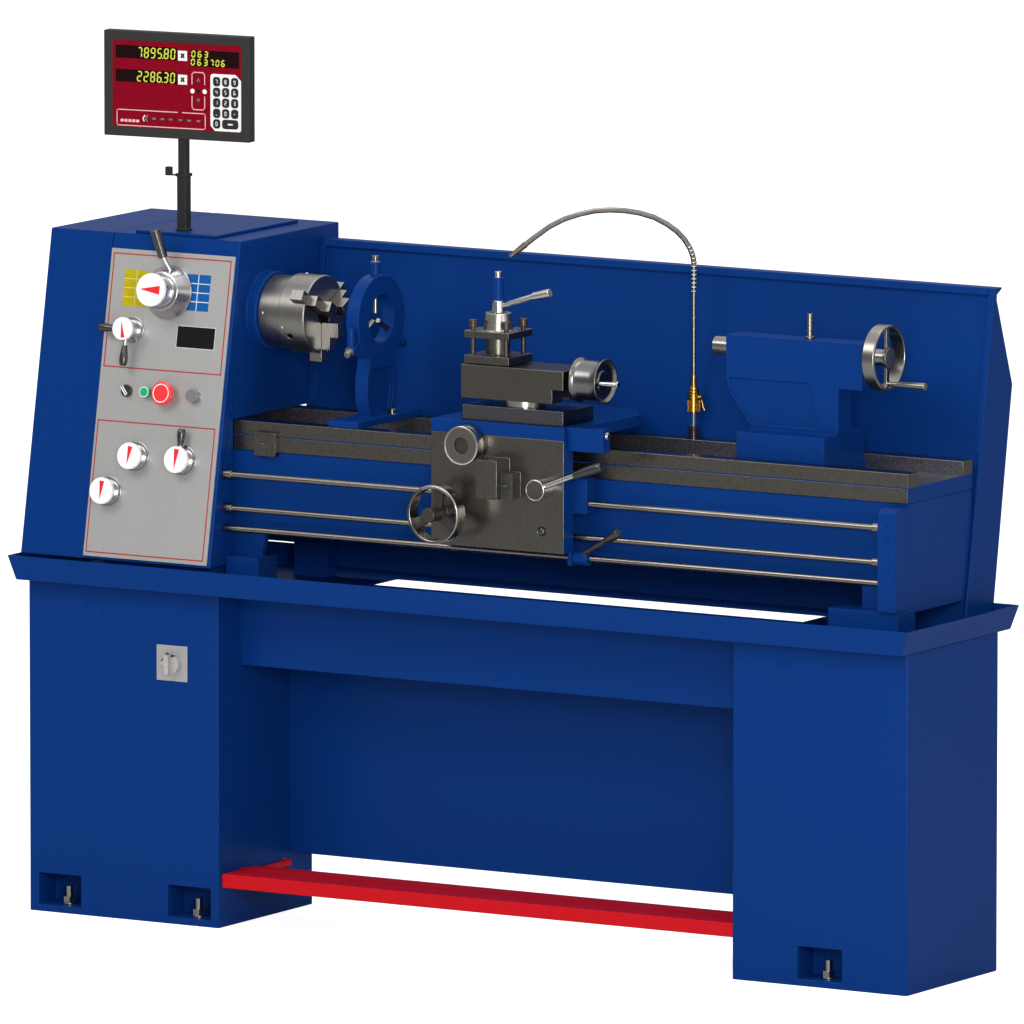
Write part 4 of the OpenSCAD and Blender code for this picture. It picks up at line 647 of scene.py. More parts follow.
def steadyPick(at, normal):
    # the fingers, their hexagon heads and the clamp's nut are bare, the bosses round them painted
    arm = Vector((at.x - steady["x"], at.y - spindleY, at.z - spindleZ))
    for angle in (90, 210, 330):
        ray = Vector((0, math.cos(math.radians(angle)), math.sin(math.radians(angle))))
        reach = arm.dot(ray)
        aside = (arm - ray * reach).length
        if reach > steady["heads"] and aside < steady["head"]:
            return 2
        if reach > 0 and aside < steady["finger"]:
            return 1
    across, back = steady["nutAt"]
    onNut = math.hypot(arm.x - across, arm.y - back) < steady["nut"]
    return 2 if onNut and deckTop + 36 < at.z < spindleZ - 100 else 0


def saddlePick(at, normal):
    # a black piece on the left end, and a bright bolt on the right wing
    if at.x < -53.6:
        return 1
    return 2 if at.x > 302 and at.y < -140 and 962.5 < at.z < 978 else 0


def controlPick(at, normal):
    # the pilot lamp stands out of the plate
    lamp = faceZero + faceRight * panel["lamp"][0] + faceUp * panel["lamp"][1]
    return 1 if (at - lamp).length < 22 and (at - faceZero).dot(faceOut) > 3.2 else 0


def byHeight(*heights):
    # one more for every height that the face is above
    return lambda at, normal: sum(at.z > height for height in heights)


spindleY, spindleZ = jointPoint("spindle_turn").yz
wayPlate = 884.5
deckTop = 912.0
apronFront = lowCorner("saddle").y
steady = {"x": -290.5, "heads": 103.4, "head": 8.0, "finger": 5.4, "nutAt": (20.0, 26.0), "nut": 9.6}

for finishNames, edges, *more in (
        ("bluePaint", {
            "left_cabinet": 2.2, "right_cabinet": 2.2, "chip_tray": 1.4, "front_valance": 1.0,
            "rear_panel": 1.0, "motor": 1.5, "rod_bracket": 1.6, "headstock": 1.8, "gear_cover": 2.0,
            "headstock_lid": 1.6, "backsplash": 1.0, "tailstock": 1.1}),
        (["bluePaint", "groundSteel", "wayTop", "deckSteel"], {"bed": 0.8}, bedPick, deckTop),
        ("redPaint", {"brake_pedal": 1.6}),
        ("jawSteel", {"anchor_bolts": 0.5}),
        ("brightSteel", {"motor_pulley": 0.4}),
        ("beltRubber", {"drive_belts": 0.6}),
        ("rodSteel", {"leadscrew": 0.4, "feed_rod": 0.4, "control_rod": 0.4}),
        ("groundSteel", {"carriage_stop": 0.6}),
        ("brightSteel", {"spindle": 0.4, "spindle_bearings": 0.4, "input_shaft": 0.4}),
        ("chuckSteel", {"chuck_body": 0.8}),
        ("jawSteel", {"chuck_jaw_1": 0.6, "chuck_jaw_2": 0.6, "chuck_jaw_3": 0.6}),
        (["bluePaint", "jawSteel", "rodSteel"], {"steady_rest": 1.2}, steadyPick),
        ("tailSteel", {"quill": 0.4}),
        ("rodSteel", {"quill_lock": 0.6}),
        (["bluePaint", "gripBlack", "chrome"], {"saddle": 1.4}, saddlePick),
        (["groundSteel", "bluePaint", "castDark"], {"apron": 0.9}, apronPick),
        ("slideSteel", {"cross_slide": 0.9}),
        ("brightSteel", {"top_slide_base": 0.5}),
        (["groundSteel", "chrome"], {"top_slide": 0.9}, byHeight(1086)),
        ("panelGrey", {"isolator_plate": 0.4}),
        ("switchGrey", {"isolator_knob": 0.8}),
        (["panelGrey", "lampGrey"], {"control_panel": 0.5}, controlPick),
        ("postBlack", {"readout_post": 0.8})):
    for node, edge in edges.items():
        dress(node, finishNames, edge, *more)

print("handwheels and dials")


def wheelPick(at, normal):
    # the rim is bare, the spokes and the hub are dark
    arm = at - jointPoint("carriage_wheel_turn")
    return 0 if math.hypot(arm.x, arm.z) > 46.5 else 1


crossDial = {"radius": 36.0, "plug": 15.0, "marks": 100}
dress("carriage_wheel", ["wheelSteel", "spokeDark"], 0.8, wheelPick)
dress("tailstock_wheel", "tailSteel", 0.8)


def dialShape(bm):
    # a knurl-free drum, a groove behind it and a shallow recess in its face, painted dark as the shade inside
    # a bore
    centre = jointPoint("cross_dial_turn")
    foot, length = apronFront - highCorner("cross_dial").y, apronFront - lowCorner("cross_dial").y
    radius, plug = crossDial["radius"], crossDial["plug"]
    groove = radius - 3
    profile = [(0, foot), (8, foot), (8, 0.4), (radius - 0.5, 0.4), (radius, 0.9), (radius, 4.4),
               (groove, 5.0), (groove, 7.2), (radius, 7.8), (radius, length - 1.9),
               (radius - 0.6, length - 0.6), (radius - 2.0, length), (radius - 3.2, length),
               (radius - 3.8, length - 0.7),
               (plug + 0.6, length - 0.7), (plug, length - 1.3), (plug, length - 4.6), (0, length - 4.6)]
    # the recess's wall and floor get the dark finish as painted shade; the drum's front takes the bright rim
    # steel
    addTurned(bm, profile, onAxis(centre.x, apronFront, centre.z, forwards), 96,
              pick=lambda level: 2 if 8 <= level <= 12 else 1 if level > 14 else 0)


rebuild("cross_dial", ["dialSteel", "spokeDark", "rimSteel"], dialShape, 0.0, 30)

print("levers")


def leverAlong(bm, start, end, radius, index=0, endRadius=None, sides=32):
    length = (Vector(end) - Vector(start)).length
    profile = [(0, 0), (radius, 0), (endRadius or radius, length), (0, length)]
    addTurned(bm, profile, along(start, end), sides, index)


# the disc's top and radius, the direction of its mark, the mark's tip, back and half width, and the grips:
# each has a direction, a height, where it starts, its length and its radius
knobs = {
    "speed_lever": {"top": 68.0, "radius": 30.5, "mark": 90.0, "markSize": (24.0, 20.0, 8.3)},
    "range_lever": {"top": 38.0, "radius": 21.0, "mark": 10.8, "markSize": (16.5, 17.0, 4.2),
                    "grips": [(90, 22, 22, 38, 8), (180, 22, 30, 38, 8)]},
    "thread_knob": {"top": 28.0, "radius": 24.4, "mark": 176.4, "markSize": (19.0, 19.5, 5.6),
                    "grips": [(0, 14, 26, 32, 8)]},
    "feed_knob": {"top": 28.0, "radius": 24.4, "mark": 172.4, "markSize": (18.0, 17.5, 5.0)},
    "gear_knob": {"top": 28.0, "radius": 24.4, "mark": 177.4, "markSize": (18.0, 18.0, 5.2)},
}
speedPath = [(8, 24, 26), (12, 40, 26), (0, 62, 34), (-13, 110, 50)]    # the last two are the grip's ends


def knobFoot(bm, node, profile, sides, *shaft):
    # its shaft in the headstock (radius, sides and finish) and the part that turns on the panel
    place = facing(jointPoint(node + "_turn") + faceOut * panel["thick"], faceRight, faceUp, faceOut)
    radius, shaftSides, index = shaft or (8, 40, 0)
    addRod(bm, place, radius, panel["shaft"], 0.2, shaftSides, index)
    addTurned(bm, profile, place, sides)
    return place


def discTop(bm, place, top, radius, mark, markSize, **others):
    addTurned(bm, [(0, top - 7.6), (radius - 0.5, top - 7.6), (radius, top - 7.0), (radius, top - 0.7),
                   (radius - 0.5, top - 0.2), (0, top - 0.2)], place, 72, 1)
    tip, back, half = markSize
    addPrism(bm, [(0, tip), (-half, -back), (half, -back)], top - 0.25, top, place @ turnBy(mark), 2)


def speedShape(bm):
    place = knobFoot(bm, "speed_lever", [
        (0, 0), (49.2, 0), (50, 0.8), (50, 5), (49, 6.2), (36.6, 31), (35, 32.4), (28, 32.8), (27, 34),
        (27, 60.6), (0, 60.6)], 96)
    discTop(bm, place, **knobs["speed_lever"])
    points = [place @ Vector(point) for point in speedPath]
    for start, end in zip(points, points[1:-1]):
        leverAlong(bm, start, end, 4.5)
    for point in points[1:-2]:
        bmesh.ops.create_icosphere(bm, subdivisions=3, radius=4.5, matrix=Matrix.Translation(point))
    leverAlong(bm, points[-2], points[-1], 8.6, 3, 9.8, 40)


def knobShape(node):
    def shape(bm):
        knob = knobs[node]
        top, radius = knob["top"], knob["radius"]
        place = knobFoot(bm, node, [
            (0, 0), (radius + 3.4, 0), (radius + 4, 0.8), (radius + 4, 2.4), (radius + 3.2, 3),
            (radius - 2.4, 3.2), (radius - 3, 4), (radius - 3, top - 7.4), (0, top - 7.4)], 72)
        discTop(bm, place, **knob)
        for angle, out, reach, length, gripRadius in knob.get("grips", []):
            turn = place @ turnBy(angle)
            leverAlong(bm, turn @ Vector((0, radius - 6, out)), turn @ Vector((0, reach + 2, out)), 3.6)
            outwards = Matrix.Translation((0, reach, out)) @ Matrix.Rotation(-math.pi / 2, 4, "X")
            addTurned(bm, barrel(length, gripRadius), turn @ outwards, 40, 3)
    return shape


for node in knobs:
    shape, edge = (speedShape, 0.3) if node == "speed_lever" else (knobShape(node), 0.25)
    rebuild(node, ["satinChrome", "whiteDisc", "markRed", "gripBlack"], shape, edge)

# a button's profile, and the white ring printed on its cap: height, inner and outer radius
buttons = {
    "start_button": {
        "finish": "buttonGreen", "ring": (7.88, 8.4, 9.8),
        "profile": [(0, 0), (10.2, 0), (10.5, 0.4), (10.5, 7.2), (9.9, 7.9), (0, 7.9)]},
    "stop_button": {
        "finish": "buttonRed", "ring": (19.8, 15.6, 17.3),
        "profile": [(0, 0), (12.7, 0), (13, 0.4), (13, 7.4), (20.4, 8.2), (22, 10), (22, 16.6), (20.8, 19.0),
                    (19.0, 19.8), (0, 19.8)]},
}


def buttonShape(node, profile, ring, **others):
    def shape(bm):
        # both buttons stand in the switch's row
        row = (jointPoint("mode_switch_turn") - faceZero).dot(faceUp)
        place = onFace((lowCorner(node).x + highCorner(node).x) / 2 - faceZero.x, row, panel["buttonsOut"])
        addRod(bm, place, 5, -11.3, 0.2, 32, 2)
        addTurned(bm, profile, place)
        height, inner, outer = ring
        low, high = height - 0.05, height + 0.12
        band = [(inner, low), (outer, low), (outer, high), (inner, high), (inner, low)]
        addTurned(bm, band, place, index=1)
    return shape


for node, button in buttons.items():
    rebuild(node, [button["finish"], "whiteDisc", "brightSteel"], buttonShape(node, **button))


def switchShape(bm):
    profile = [(0, 0), (11.2, 0), (11.5, 0.4), (11.5, 4.4), (11, 5), (0, 5)]
    turn = knobFoot(bm, "mode_switch", profile, 56, 5, 32, 2) @ turnBy(panel["switchTurn"])
    addBox(bm, (-3.4, -10.2, 4.8), (3.4, 10.2, 12.6), turn)
    for middle in (-1.9, 1.9):
        addBox(bm, (middle - 1.1, -9.8, 12.5), (middle + 1.1, 9.8, 12.9), turn, 1)


rebuild("mode_switch", ["gripBlack", "whiteDisc", "brightSteel"], switchShape)


def panelPrints(bm):
    low, high = 3.0, 3.0 + panel["print"]
    place = onFace(0, 0)

    def strip(x0, x1, y0, y1, index, grow=0.0, lift=0.0):
        addBox(bm, (x0 - grow, y0 - grow, low - 0.02), (x1 + grow, y1 + grow, high + lift), place, index)

    half = panel["line"] / 2
    for x0, x1, y0, y1 in panel["frames"]:
        for y in (y0, y1):
            strip(x0, x1, y, y, 0, half)
        for x in (x0, x1):
            strip(x - half, x + half, y0, y1, 0)
    rows, thin = panel["chartRows"], 0.9
    for index, (x0, x1, y0, y1) in enumerate(panel["charts"]):
        strip(x0, x1, y0, y1, 1 + index)
        for row in range(1, rows):
            y = y0 + (y1 - y0) * row / rows
            strip(x0, x1, y - thin, y + thin, 3 + index, lift=0.08)
        middle = (x0 + x1) / 2
        strip(middle - thin, middle + thin, y0, y1, 3 + index, lift=0.09)
    strip(*panel["plate"], 6, thin)
    strip(*panel["plate"], 5, lift=0.3)


build("panelPrints", [
    "lineRed", "chartYellow", "chartBlue", "chartDull", "chartLine", "plateBlack", "keyWhite"],
    panelPrints, "control_panel")


def feedLeverShape(bm):
    centre = jointPoint("feed_lever_turn")
    front, back = -223.8, -190.8
    addTurned(bm, [(0, 0.4), (17.4, 0.4), (18.0, 0), (18.8, 0.1), (19.6, 1.0), (19.6, 34.6), (0, 34.6)],
              onAxis(centre.x, front, centre.z, backwards), 72, pick=lambda level: 0 if level == 0 else 3)
    addRod(bm, onAxis(centre.x, back, centre.z, backwards), 8, 0, 24)
    plane = front + 9
    lean, length = Vector((0.93, 0, 0.33)), 62
    tip = Vector((centre.x + 78, plane, centre.z + 31))
    leverAlong(bm, (centre.x + 12, plane, centre.z + 5), tip + lean * 2, 5.0, 1)
    addTurned(bm, barrel(length, 9.6, 0.7, 0.9), along(tip, tip + lean * length), 40, 2)


def startLeverShape(bm):
    centre = jointPoint("start_lever_turn")
    x = lowCorner("start_lever").x
    width, shaft, radius = 30.0, 6.06, 13
    addTurned(bm, [(shaft, 0), (radius - 0.6, 0), (radius, 0.6), (radius, width - 0.6), (radius - 0.6, width),
                   (shaft, width), (shaft, 0)], onAxis(x, centre.y, centre.z, rightwards))
    root = Vector((x + 20, centre.y - 6, centre.z + 9))
    tip = root + Vector((58, -22, 29))
    end = tip + Vector((38, -15, 21))
    leverAlong(bm, root, tip, 4.0, 1)
    addTurned(bm, barrel((end - tip).length, 8.8, 0.68, 0.92), along(tip, end), 40, 2)


def crankShape(bm):
    centre = jointPoint("top_slide_crank_turn")
    x = highCorner("top_slide").x + 6
    place = onAxis(x, centre.y, centre.z, rightwards)
    addRod(bm, place, 8, -48, 1)
    drum = [(0, 0), (39, 0), (40.4, 0.6), (41, 2), (40.8, 4.6), (38.6, 7), (37, 9.6), (36.5, 14), (36.4, 40),
            (37.4, 47), (39.4, 52), (40.8, 55), (41, 56.2), (40, 57), (38.2, 57), (36.6, 55.6), (34, 52.2),
            (30, 50.6), (21.4, 50), (20.2, 50.6), (19.4, 52.4), (18, 53), (0, 53)]
    addTurned(bm, drum, place, 96)
    pin = [(0, 49), (4.5, 49), (4.5, 95.6), (5.8, 96.2), (6, 97), (6, 99), (5.2, 100), (0, 100)]
    addTurned(bm, pin, onAxis(x, centre.y - 28, centre.z, rightwards), 40, 1)


rebuild("feed_lever", ["hubSteel", "chrome", "gripBlack", "rimSteel"], feedLeverShape)
rebuild("start_lever", ["bluePaint", "brownSteel", "gripBlack"], startLeverShape, 0.4)
rebuild("top_slide_crank", ["crankSteel", "chrome"], crankShape, 0.4)


def postPick(at, normal):
    # the bolts round the block are brown, the turned cap in the middle bright
    centre = jointPoint("tool_post_turn")
    if math.hypot(at.x - centre.x, at.y - centre.y) > 30 and (at.z > 1146.5 or 1101.2 < at.z < 1132.8):
        return 1
    return 2 if at.z > 1145.5 else 0


def postLeverShape(bm):
    centre = jointPoint("tool_post_turn")
    z = lowCorner("post_lever").z
    stud = 6.56
    place = Matrix.Translation((centre.x, centre.y, z))
    addTurned(bm, [(stud, 0), (12, 0), (12.5, 0.6), (10.1, 21.4), (9.5, 22), (stud, 22), (stud, 0)], place)
    addTurned(bm, [(stud, 22), (10.5, 22), (10.5, 62), (9.4, 63.6), (stud, 63.6), (stud, 22)], place, index=1)
    tip = Vector((centre.x + 74, centre.y, z + 33))
    leverAlong(bm, (centre.x + 9, centre.y, z + 13), tip, 4.5, 0, 5.5)
    grip = [(0, 0), (6.6, 0), (7.5, 0.8), (8.4, 35), (7.6, 37), (0, 37.2)]
    addTurned(bm, grip, along(tip, tip + Vector((36, 0, 9))), 48)


dress("tool_post", ["groundSteel", "boltBrown", "postSteel"], 0.8, postPick)
rebuild("post_lever", ["satinChrome", "bluePaint"], postLeverShape, 0.4)

print("coolant line")
dress("coolant_valve", ["gripBlack", "tubeBlue", "brass"], 0.5, byHeight(957.5, 981.5))
dress("valve_lever", "brass", 0.3)
dress("coolant_pipe", ["rodSteel", "brownSteel"], 0.2, lambda at, normal: int(at.x < 92 and at.z < 1312))

print("small fittings")


def screwShape(bm):
    # a small domed head that faces outwards from its ring
    addTurned(bm, [(0, -1.5), (2.9, -1.5), (2.9, 0.2), (2.4, 1.2), (1.3, 1.9), (0, 2.1)],
              onAxis(0, 0, 0, rightwards), 20)


def tickShape(bm):
    addBox(bm, (-0.1, -0.2, 0), (0.12, 0.2, 3.6))


def ridgeShape(bm):
    addBox(bm, (-0.3, -0.28, 0.6), (0.2, 0.28, 22.6))


# where each ring of screws stands along the spindle, its radius, and the degrees it is turned
for name, x, radius, turn in (("plateScrews", -492.5, 67.0, 3.0), ("bodyScrews", -448.7, 72.5, -16.5)):
    place = facing((x, spindleY, spindleZ), forwards, upwards, leftwards)
    repeat(name, ringTree, screwShape, "rimSteel", "chuck_body", place @ turnBy(turn), Count=3, Radius=radius)

dialAt = jointPoint("cross_dial_turn")
repeat("dialMarks", ringTree, tickShape, "boltBrown", "cross_dial",
       onAxis(dialAt.x, apronFront - 8.4, dialAt.z, forwards),
       Count=crossDial["marks"], Radius=crossDial["radius"])

valve = {
    "bodyRadius": 11.0,
    "ridges": 40,
    "beads": [(26.0, 11.4), (31.5, 10.2), (36.5, 9.6), (41.5, 8.8), (46.5, 6.4)],   # height, radius
}
valveLow, valveHigh = lowCorner("coolant_valve"), highCorner("coolant_valve")
valveAt = Vector(((valveLow.x + valveHigh.x) / 2 - 1.0, (valveLow.y + valveHigh.y) / 2, valveHigh.z - 67))


def beadShape(bm):
    for height, radius in valve["beads"]:
        bead = [(3.6, height - 2.6), (radius - 1.2, height - 2.4), (radius, height - 1.2),
                (radius, height + 1.2), (radius - 1.2, height + 2.4), (3.6, height + 2.6),
                (3.6, height - 2.6)]
        addTurned(bm, bead, Matrix.Translation(valveAt), 48)


build("valveBeads", "brass", beadShape, "coolant_valve")
repeat("valveRidges", ringTree, ridgeShape, "brass", "coolant_valve", Matrix.Translation(valveAt),
       Count=valve["ridges"], Radius=valve["bodyRadius"])

neckRibs = {"from": -50.0, "to": 32.0, "count": 12, "radius": 3.7, "thickness": 1.9, "lean": 0.0089}


def ribPath(bm):
    # up the last of the pipe and into the neck's first bend
    foot = Vector((valveAt.x, valveAt.y, valveHigh.z + 204))
    away = Vector((-1, -1, 0)).normalized()
    steps = 24
    rises = [neckRibs["from"] + (neckRibs["to"] - neckRibs["from"]) * i / steps for i in range(steps + 1)]
    verts = [bm.verts.new(foot + Vector((0, 0, rise)) + away * neckRibs["lean"] * max(0.0, rise) ** 2)
             for rise in rises]
    for pair in zip(verts, verts[1:]):
        bm.edges.new(pair)


repeat("neckRibs", ribTree, ribPath, "chrome", "coolant_pipe", Matrix(),
       Count=neckRibs["count"], Radius=neckRibs["radius"], Thickness=neckRibs["thickness"])


fittings = {
    "oiler": (181.0, 791.0),       # on the apron: how far right, how high
    "blanks": (138, 108),          # from the left side of each cabinet
    "blanksDown": 55,
}


def oilerShape(bm):
    x, z = fittings["oiler"]
    addTurned(bm, [(0, -0.8), (7.5, -0.8), (7.4, 0.6), (6.6, 2.0), (5.0, 3.1), (2.6, 3.9), (0, 4.2)],
              onAxis(x, apronFront, z, forwards), 40)


def knockoutShape(bm):
    # a pressed-out blank high on each cabinet's front
    front, height = lowCorner("left_cabinet").y, highCorner("left_cabinet").z - fittings["blanksDown"]
    for cabinet, right in zip(("left_cabinet", "right_cabinet"), fittings["blanks"]):
        addTurned(bm, [(0, -0.6), (21.6, -0.6), (21.6, 0.2), (21.2, 0.9), (20.4, 1.3), (0, 1.3)],
                  onAxis(lowCorner(cabinet).x + right, front, height, forwards), 72)


build("apronOiler", "gripBlack", oilerShape, "apron")
build("knockoutBlanks", "bluePaint", knockoutShape, "left_cabinet")

print("readout")
dress("readout_case", "caseBlack", 1.6)
readout = {
    "turn": 5.5,                # degrees the screen is turned towards the tailstock
    "left": 158.5,              # from its pin to its left side
    "recess": 10.5,             # from its pin to the face
    "face": (17.5, 281.5, 17.5, 177.5),
    "windows": [(24, 150, 144.5, 168.5), (24, 150, 100.7, 124), (177.6, 277.6, 136, 166)],
    "numbers": [("7895.80", 69.5, 147.6), ("2286.30", 68.6, 103.4)],
    "pitch": 13.6,
    "digit": (7.5, 17.4, 2.3),  # between bar centres, and how thick a bar is
    # the small signs: their place, pitch and size
    "signs": [("063", 180.5, 153.4, 13, (6.2, 10.4, 2.2)), ("063", 179.5, 138.6, 13, (6.2, 10.4, 2.2)),
              ("706", 218.5, 138.6, 11.5, (5.6, 10.4, 2.2))],
    "axisSquares": [(152.6, 171, 145, 163.5), (152.6, 171, 101, 119)],
    "brackets": [(103, 125, 1), (80.5, 56, -1)],
    "dots": [(182, 90), (207, 90)],
    "arrows": [(194, 111, 1), (194, 73.6, -1)],
    "middleKey": (191.6, 196.4, 87.4, 92.6),
    "pad": (219, 282, 18.6, 124),
    "keys": {"centre": (250.4, 80.7), "across": 18.5, "upwards": 19.5, "size": (14.6, 17.2)},
    "keySign": (3.4, 6.8, 1.3),
    "wideKey": 33.0,
    "tray": (26.5, 208, 20, 49),
    "trayMarks": (103, 120, 137, 157, 175, 194),
    "level": {                  # how low and how high each kind of print lies on the face
        "face": (-0.3, 0.2), "window": (0.1, 0.4), "digit": (0.3, 0.55), "pad": (0.1, 0.7),
        "stroke": (0.6, 0.85), "key": (0.6, 1.5), "keySign": (1.4, 1.65), "line": (0.1, 0.45),
        "mark": (0.1, 0.5)},
}
readoutPin = jointPoint("readout_swivel")
readoutTurn = math.radians(readout["turn"])
readoutRight = Vector((math.cos(readoutTurn), math.sin(readoutTurn), 0))
readoutOut = Vector((math.sin(readoutTurn), -math.cos(readoutTurn), 0))
readoutFoot = Vector((readoutPin.x, readoutPin.y, lowCorner("readout_case").z))
readoutZero = readoutFoot - readoutRight * readout["left"]
readoutPlace = facing(readoutZero + readoutOut * readout["recess"], readoutRight, upwards, readoutOut)
barsOf = {"0": "abcdef", "1": "bc", "2": "abdeg", "3": "abcdg", "4": "bcfg", "5": "acdfg", "6": "acdefg",
          "7": "abc", "8": "abcdefg", "9": "abcdfg", "-": "g", "_": "d"}


def addDigit(bm, sign, right, up, size, level, index, lean=0.08):
    # seven bars with pointed ends, of which the sign has some
    width, height, thick = size
    half = height / 2
    ends = {"a": (0, height, width, height), "b": (width, height, width, half), "c": (width, half, width, 0),
            "d": (0, 0, width, 0), "e": (0, half, 0, 0), "f": (0, height, 0, half),
            "g": (0, half, width, half)}
    for bar in barsOf[sign]:
        x0, y0, x1, y1 = ends[bar]
        run = Vector((x1 - x0, y1 - y0)).normalized()
        side = Vector((-run.y, run.x)) * thick / 2
        start, end = Vector((x0, y0)) + run * 0.25, Vector((x1, y1)) - run * 0.25
        inner = run * thick / 2
        outline = [start, start + inner - side, end - inner - side,
                   end, end - inner + side, start + inner + side]
        addPrism(bm, [(right + at.x + lean * at.y, up + at.y) for at in outline], *readout["level"][level],
                 readoutPlace, index)


def addLine(bm, path, width, level, index):
    # a thin printed line through the given points
    for (x0, y0), (x1, y1) in zip(path, path[1:]):
        run = Vector((x1 - x0, y1 - y0)).normalized()
        side = Vector((-run.y, run.x)) * width / 2
        start, end = Vector((x0, y0)) - run * width * 0.4, Vector((x1, y1)) + run * width * 0.4
        corners = (start - side, end - side, end + side, start + side)
        addPrism(bm, [tuple(corner) for corner in corners], *readout["level"][level], readoutPlace, index)


def keyOutline(width, x=0.0, y=0.0):
    # a key is as high as the others, and x, y is the middle of a common key
    keyWidth, height = readout["keys"]["size"]
    left, low = x - keyWidth / 2, y - height / 2
    return cornered(left, left + width, low, low + height, 5.4)


def readoutFaceShape(bm):
    red, dark, yellow, white, black, pink, teal = range(7)

    def plate(x0, x1, y0, y1, level, index):
        low, high = readout["level"][level]
        addBox(bm, (x0, y0, low), (x1, y1, high), readoutPlace, index)

    plate(*readout["face"], "face", red)
    for window in readout["windows"]:
        plate(*window, "window", dark)
    for number, right, up in readout["numbers"]:
        for sign in number:
            if sign == ".":
                plate(right - 3.9, right - 1.9, up - 1.2, up + 1.2, "digit", yellow)
                continue
            addDigit(bm, sign, right, up, readout["digit"], "digit", yellow)
            right += readout["pitch"]
    for signs, right, up, pitch, size in readout["signs"]:
        for i, sign in enumerate(signs):
            addDigit(bm, sign, right + pitch * i, up, size, "digit", yellow)
    for x0, x1, y0, y1 in readout["axisSquares"]:
        plate(x0, x1, y0, y1, "pad", white)
        middle, level = (x0 + x1) / 2, (y0 + y1) / 2
        for run in (2.6, -2.6):
            addLine(bm, [(middle + run, level - 3.0), (middle - run, level + 3.0)], 3.4, "stroke", black)
    # the arrow keys' brackets, their dots and marks
    for y0, y1, side in readout["brackets"]:
        near = y1 - 4 * side
        path = [(181, y0), (181, near), (184.5, y1), (203.5, y1), (207, near), (207, y0)]
        addLine(bm, path, 1.7, "line", pink)
    for right, up in readout["dots"]:
        middle = readoutPlace @ Matrix.Translation((right, up, 0))
        addRod(bm, middle, 4.4, *readout["level"]["pad"], 24, white)
    for right, up, side in readout["arrows"]:
        tip, foot = up + 2.2 * side, up - 2.2 * side
        addLine(bm, [(right - 2.2, foot), (right, tip), (right + 2.2, foot)], 1.8, "mark", teal)
    plate(*readout["middleKey"], "mark", dark)
    # the white pad with two cut corners
    x0, x1, y0, y1 = readout["pad"]
    pad = [(x0 + 9, y0), (x1 - 3, y0), (x1, y0 + 3), (x1, y1 - 11), (x1 - 12, y1), (x0 + 5, y1),
           (x0 + 1.5, y1 - 1.5), (x0, y1 - 5), (x0, y0 + 10)]
    addPrism(bm, pad, *readout["level"]["pad"], readoutPlace, white)
    # the lowest row, a key and a wide one, and the white signs on all of them
    keys = readout["keys"]
    columns = [keys["centre"][0] + keys["across"] * i for i in (-1, 0, 1)]
    rows = [keys["centre"][1] + keys["upwards"] * i for i in (1.5, 0.5, -0.5, -1.5, -2.5)]
    for column, width in ((columns[0], keys["size"][0]), (columns[1], readout["wideKey"])):
        addPrism(bm, keyOutline(width, column, rows[-1]), *readout["level"]["key"], readoutPlace, black)
    plate(columns[1] + 4.5, columns[1] + 14.5, rows[-1] - 1.3, rows[-1] + 1.3, "keySign", white)
    for up, signs in zip(rows, ("789", "456", "123", "_0-", "0")):
        for column, sign in zip(columns, signs):
            addDigit(bm, sign, column - 1.9, up - 3.4, readout["keySign"], "keySign", white, 0.0)
    # the rounded tray of soft keys, open at one place in its upper line
    ring = cornered(*readout["tray"], 4.0)
    top = readout["tray"][3]
    addLine(bm, [(151, top), *ring[15:], *ring[:15], (161, top)], 1.7, "line", pink)
    for right in readout["trayMarks"]:
        addLine(bm, [(right - 2.3, 35), (right + 2.3, 35)], 2.8, "mark", teal)
    addLine(bm, [(82, 30), (80, 35), (84, 40)], 2.2, "mark", white)
    addLine(bm, [(88, 29), (86, 35), (90, 40)], 2.2, "mark", teal)
    for i in range(5):
        plate(34 + 8 * i, 40 + 8 * i, 26.5, 31.5, "line", pink)


def keyShape(bm):
    addPrism(bm, keyOutline(readout["keys"]["size"][0]), *readout["level"]["key"])


build("readoutFace", ["faceRed", "windowDark", "digitYellow", "keyWhite", "keyBlack", "printPink", "keyTeal"],
      readoutFaceShape, "readout_case")
repeat("readoutKeys", gridTree, keyShape, "keyBlack", "readout_case",
       readoutPlace @ Matrix.Translation((*readout["keys"]["centre"], 0)),
       Columns=3, Rows=4, Across=readout["keys"]["across"], Upwards=readout["keys"]["upwards"])

print("stage")
bpy.context.scene.view_settings.view_transform = "Standard"


def stagePlane():
    mesh = bpy.data.meshes.new("floor")
    size = 60.0
    corners = [(-size, -size, 0), (size, -size, 0), (size, size, 0), (-size, size, 0)]
    mesh.from_pydata(corners, [], [(0, 1, 2, 3)])
    newObject("floor", mesh)
    material = bpy.data.materials.new("floorPale")
    material.use_nodes = True
    tree = material.node_tree
    skin = tree.nodes["Principled BSDF"]
    skin.inputs["Base Color"].default_value = (*light["floor"], 1.0)
    skin.inputs["Roughness"].default_value = 0.9
    skin.inputs["Specular IOR Level"].default_value = 0.0
    skin.inputs["Emission Color"].default_value = (1, 1, 1, 1)
    rays = addNode(tree, "ShaderNodeLightPath")
    glow = math2(tree, "MULTIPLY", rays.outputs["Is Camera Ray"], light["floorGlow"])
    tree.links.new(glow, skin.inputs["Emission Strength"])
    mesh.materials.append(material)


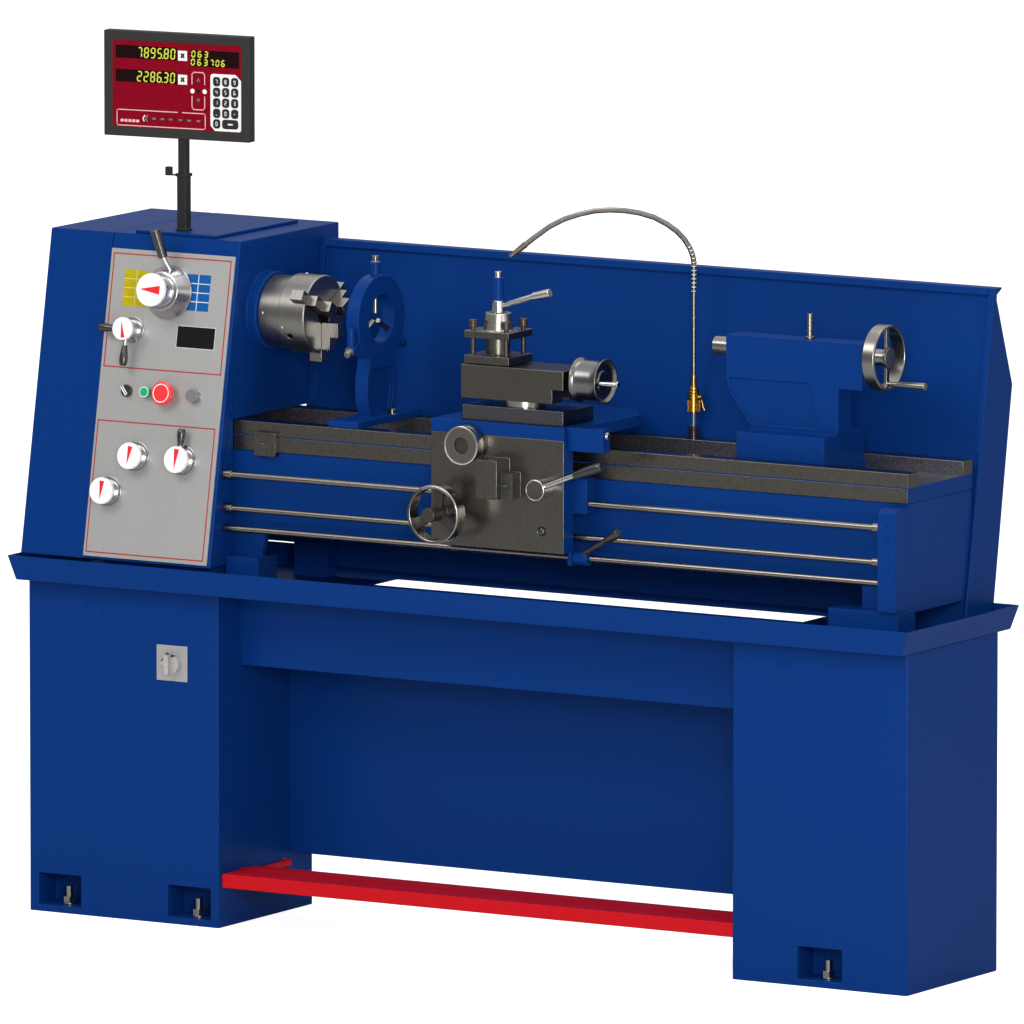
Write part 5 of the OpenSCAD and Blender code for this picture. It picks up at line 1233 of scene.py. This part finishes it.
def makeWorld():
    world = bpy.data.worlds.new("studio")
    bpy.context.scene.world = world
    world.use_nodes = True
    tree = world.node_tree
    tree.nodes.clear()
    rays = addNode(tree, "ShaderNodeLightPath")
    toward = addNode(tree, "ShaderNodeTexCoord").outputs["Generated"]
    height = addNode(tree, "ShaderNodeSeparateXYZ", {0: toward}).outputs["Z"]
    ramp = remap(tree, height, -0.2, 0.9, light["world"], light["world"] * 1.2)
    ceiling = remap(tree, height, 0.3, 0.62, 0.0, light["ceiling"], interpolation_type="SMOOTHSTEP")
    toScreen = vector2(tree, "DOT_PRODUCT", toward, (0.97, -0.24, 0.0))
    screen = remap(tree, toScreen, 0.86, 0.95, 0.0, light["screen"], interpolation_type="SMOOTHSTEP")
    mirrored = math2(tree, "ADD", math2(tree, "ADD", ceiling, screen), light["room"])
    strength = addNode(tree, "ShaderNodeMix", {0: rays.outputs["Is Glossy Ray"], 2: ramp, 3: mirrored},
                       data_type="FLOAT").outputs[0]
    around, white = (
        addNode(tree, "ShaderNodeBackground", {"Color": (1, 1, 1, 1), "Strength": value}).outputs[0]
        for value in (strength, 1.0))
    mix = addNode(tree, "ShaderNodeMixShader", {0: rays.outputs["Is Camera Ray"], 1: around, 2: white})
    addNode(tree, "ShaderNodeOutputWorld", {"Surface": mix.outputs[0]})


def areaLight(name, at, target, size, power):
    lamp = bpy.data.lights.new(name, "AREA")
    lamp.shape = "RECTANGLE"
    lamp.size, lamp.size_y = size
    lamp.energy = power
    obj = newObject(name, lamp)
    obj.location = at
    obj.rotation_euler = (Vector(target) - Vector(at)).to_track_quat("-Z", "Y").to_euler()
    obj.visible_camera = False
    obj.visible_diffuse = name != "glint"


def aim():
    azimuth, elevation = math.radians(camera["azimuth"]), math.radians(camera["elevation"])
    level = math.cos(elevation)
    back = Vector((math.sin(azimuth) * level, -math.cos(azimuth) * level, math.sin(elevation)))
    right = Vector((math.cos(azimuth), math.sin(azimuth), 0))
    up = back.cross(right)
    roll = math.radians(camera["roll"])
    lens = bpy.data.cameras.new("camera")
    eye = newObject("camera", lens)
    at = (Vector(camera["target"]) + right * camera["across"] + up * camera["above"]
          + back * camera["distance"])
    axes = right * math.cos(roll) + up * math.sin(roll), up * math.cos(roll) - right * math.sin(roll), back
    eye.matrix_world = Matrix.Translation(at * mm) @ Matrix(axes).transposed().to_4x4()
    lens.lens = camera["lens"]
    lens.sensor_width = 36.0
    lens.clip_start = 1.0
    lens.clip_end = 300.0
    bpy.context.scene.camera = eye


stagePlane()
makeWorld()
for name, at, target, size, power in (
        ("key", (-1.6, -4.2, 4.4), (0, 0, 0.8), (3.0, 2.0), light["key"]),
        ("front", (4.1, -6.1, 2.4), (0, 0, 0.8), (1.8, 1.8), light["front"]),
        ("glint", (2.38, -3.82, 0.85), (0, 0, 0.85), (1.4, 1.5), light["glint"]),
        ("side", (5.0, -1.6, 2.4), (0, 0, 0.9), (1.2, 2.6), light["fill"]),
        ("top", (0.4, 0.4, 5.0), (0, 0, 0.9), (3.6, 1.6), light["rim"])):
    areaLight(name, at, target, size, power)
aim()
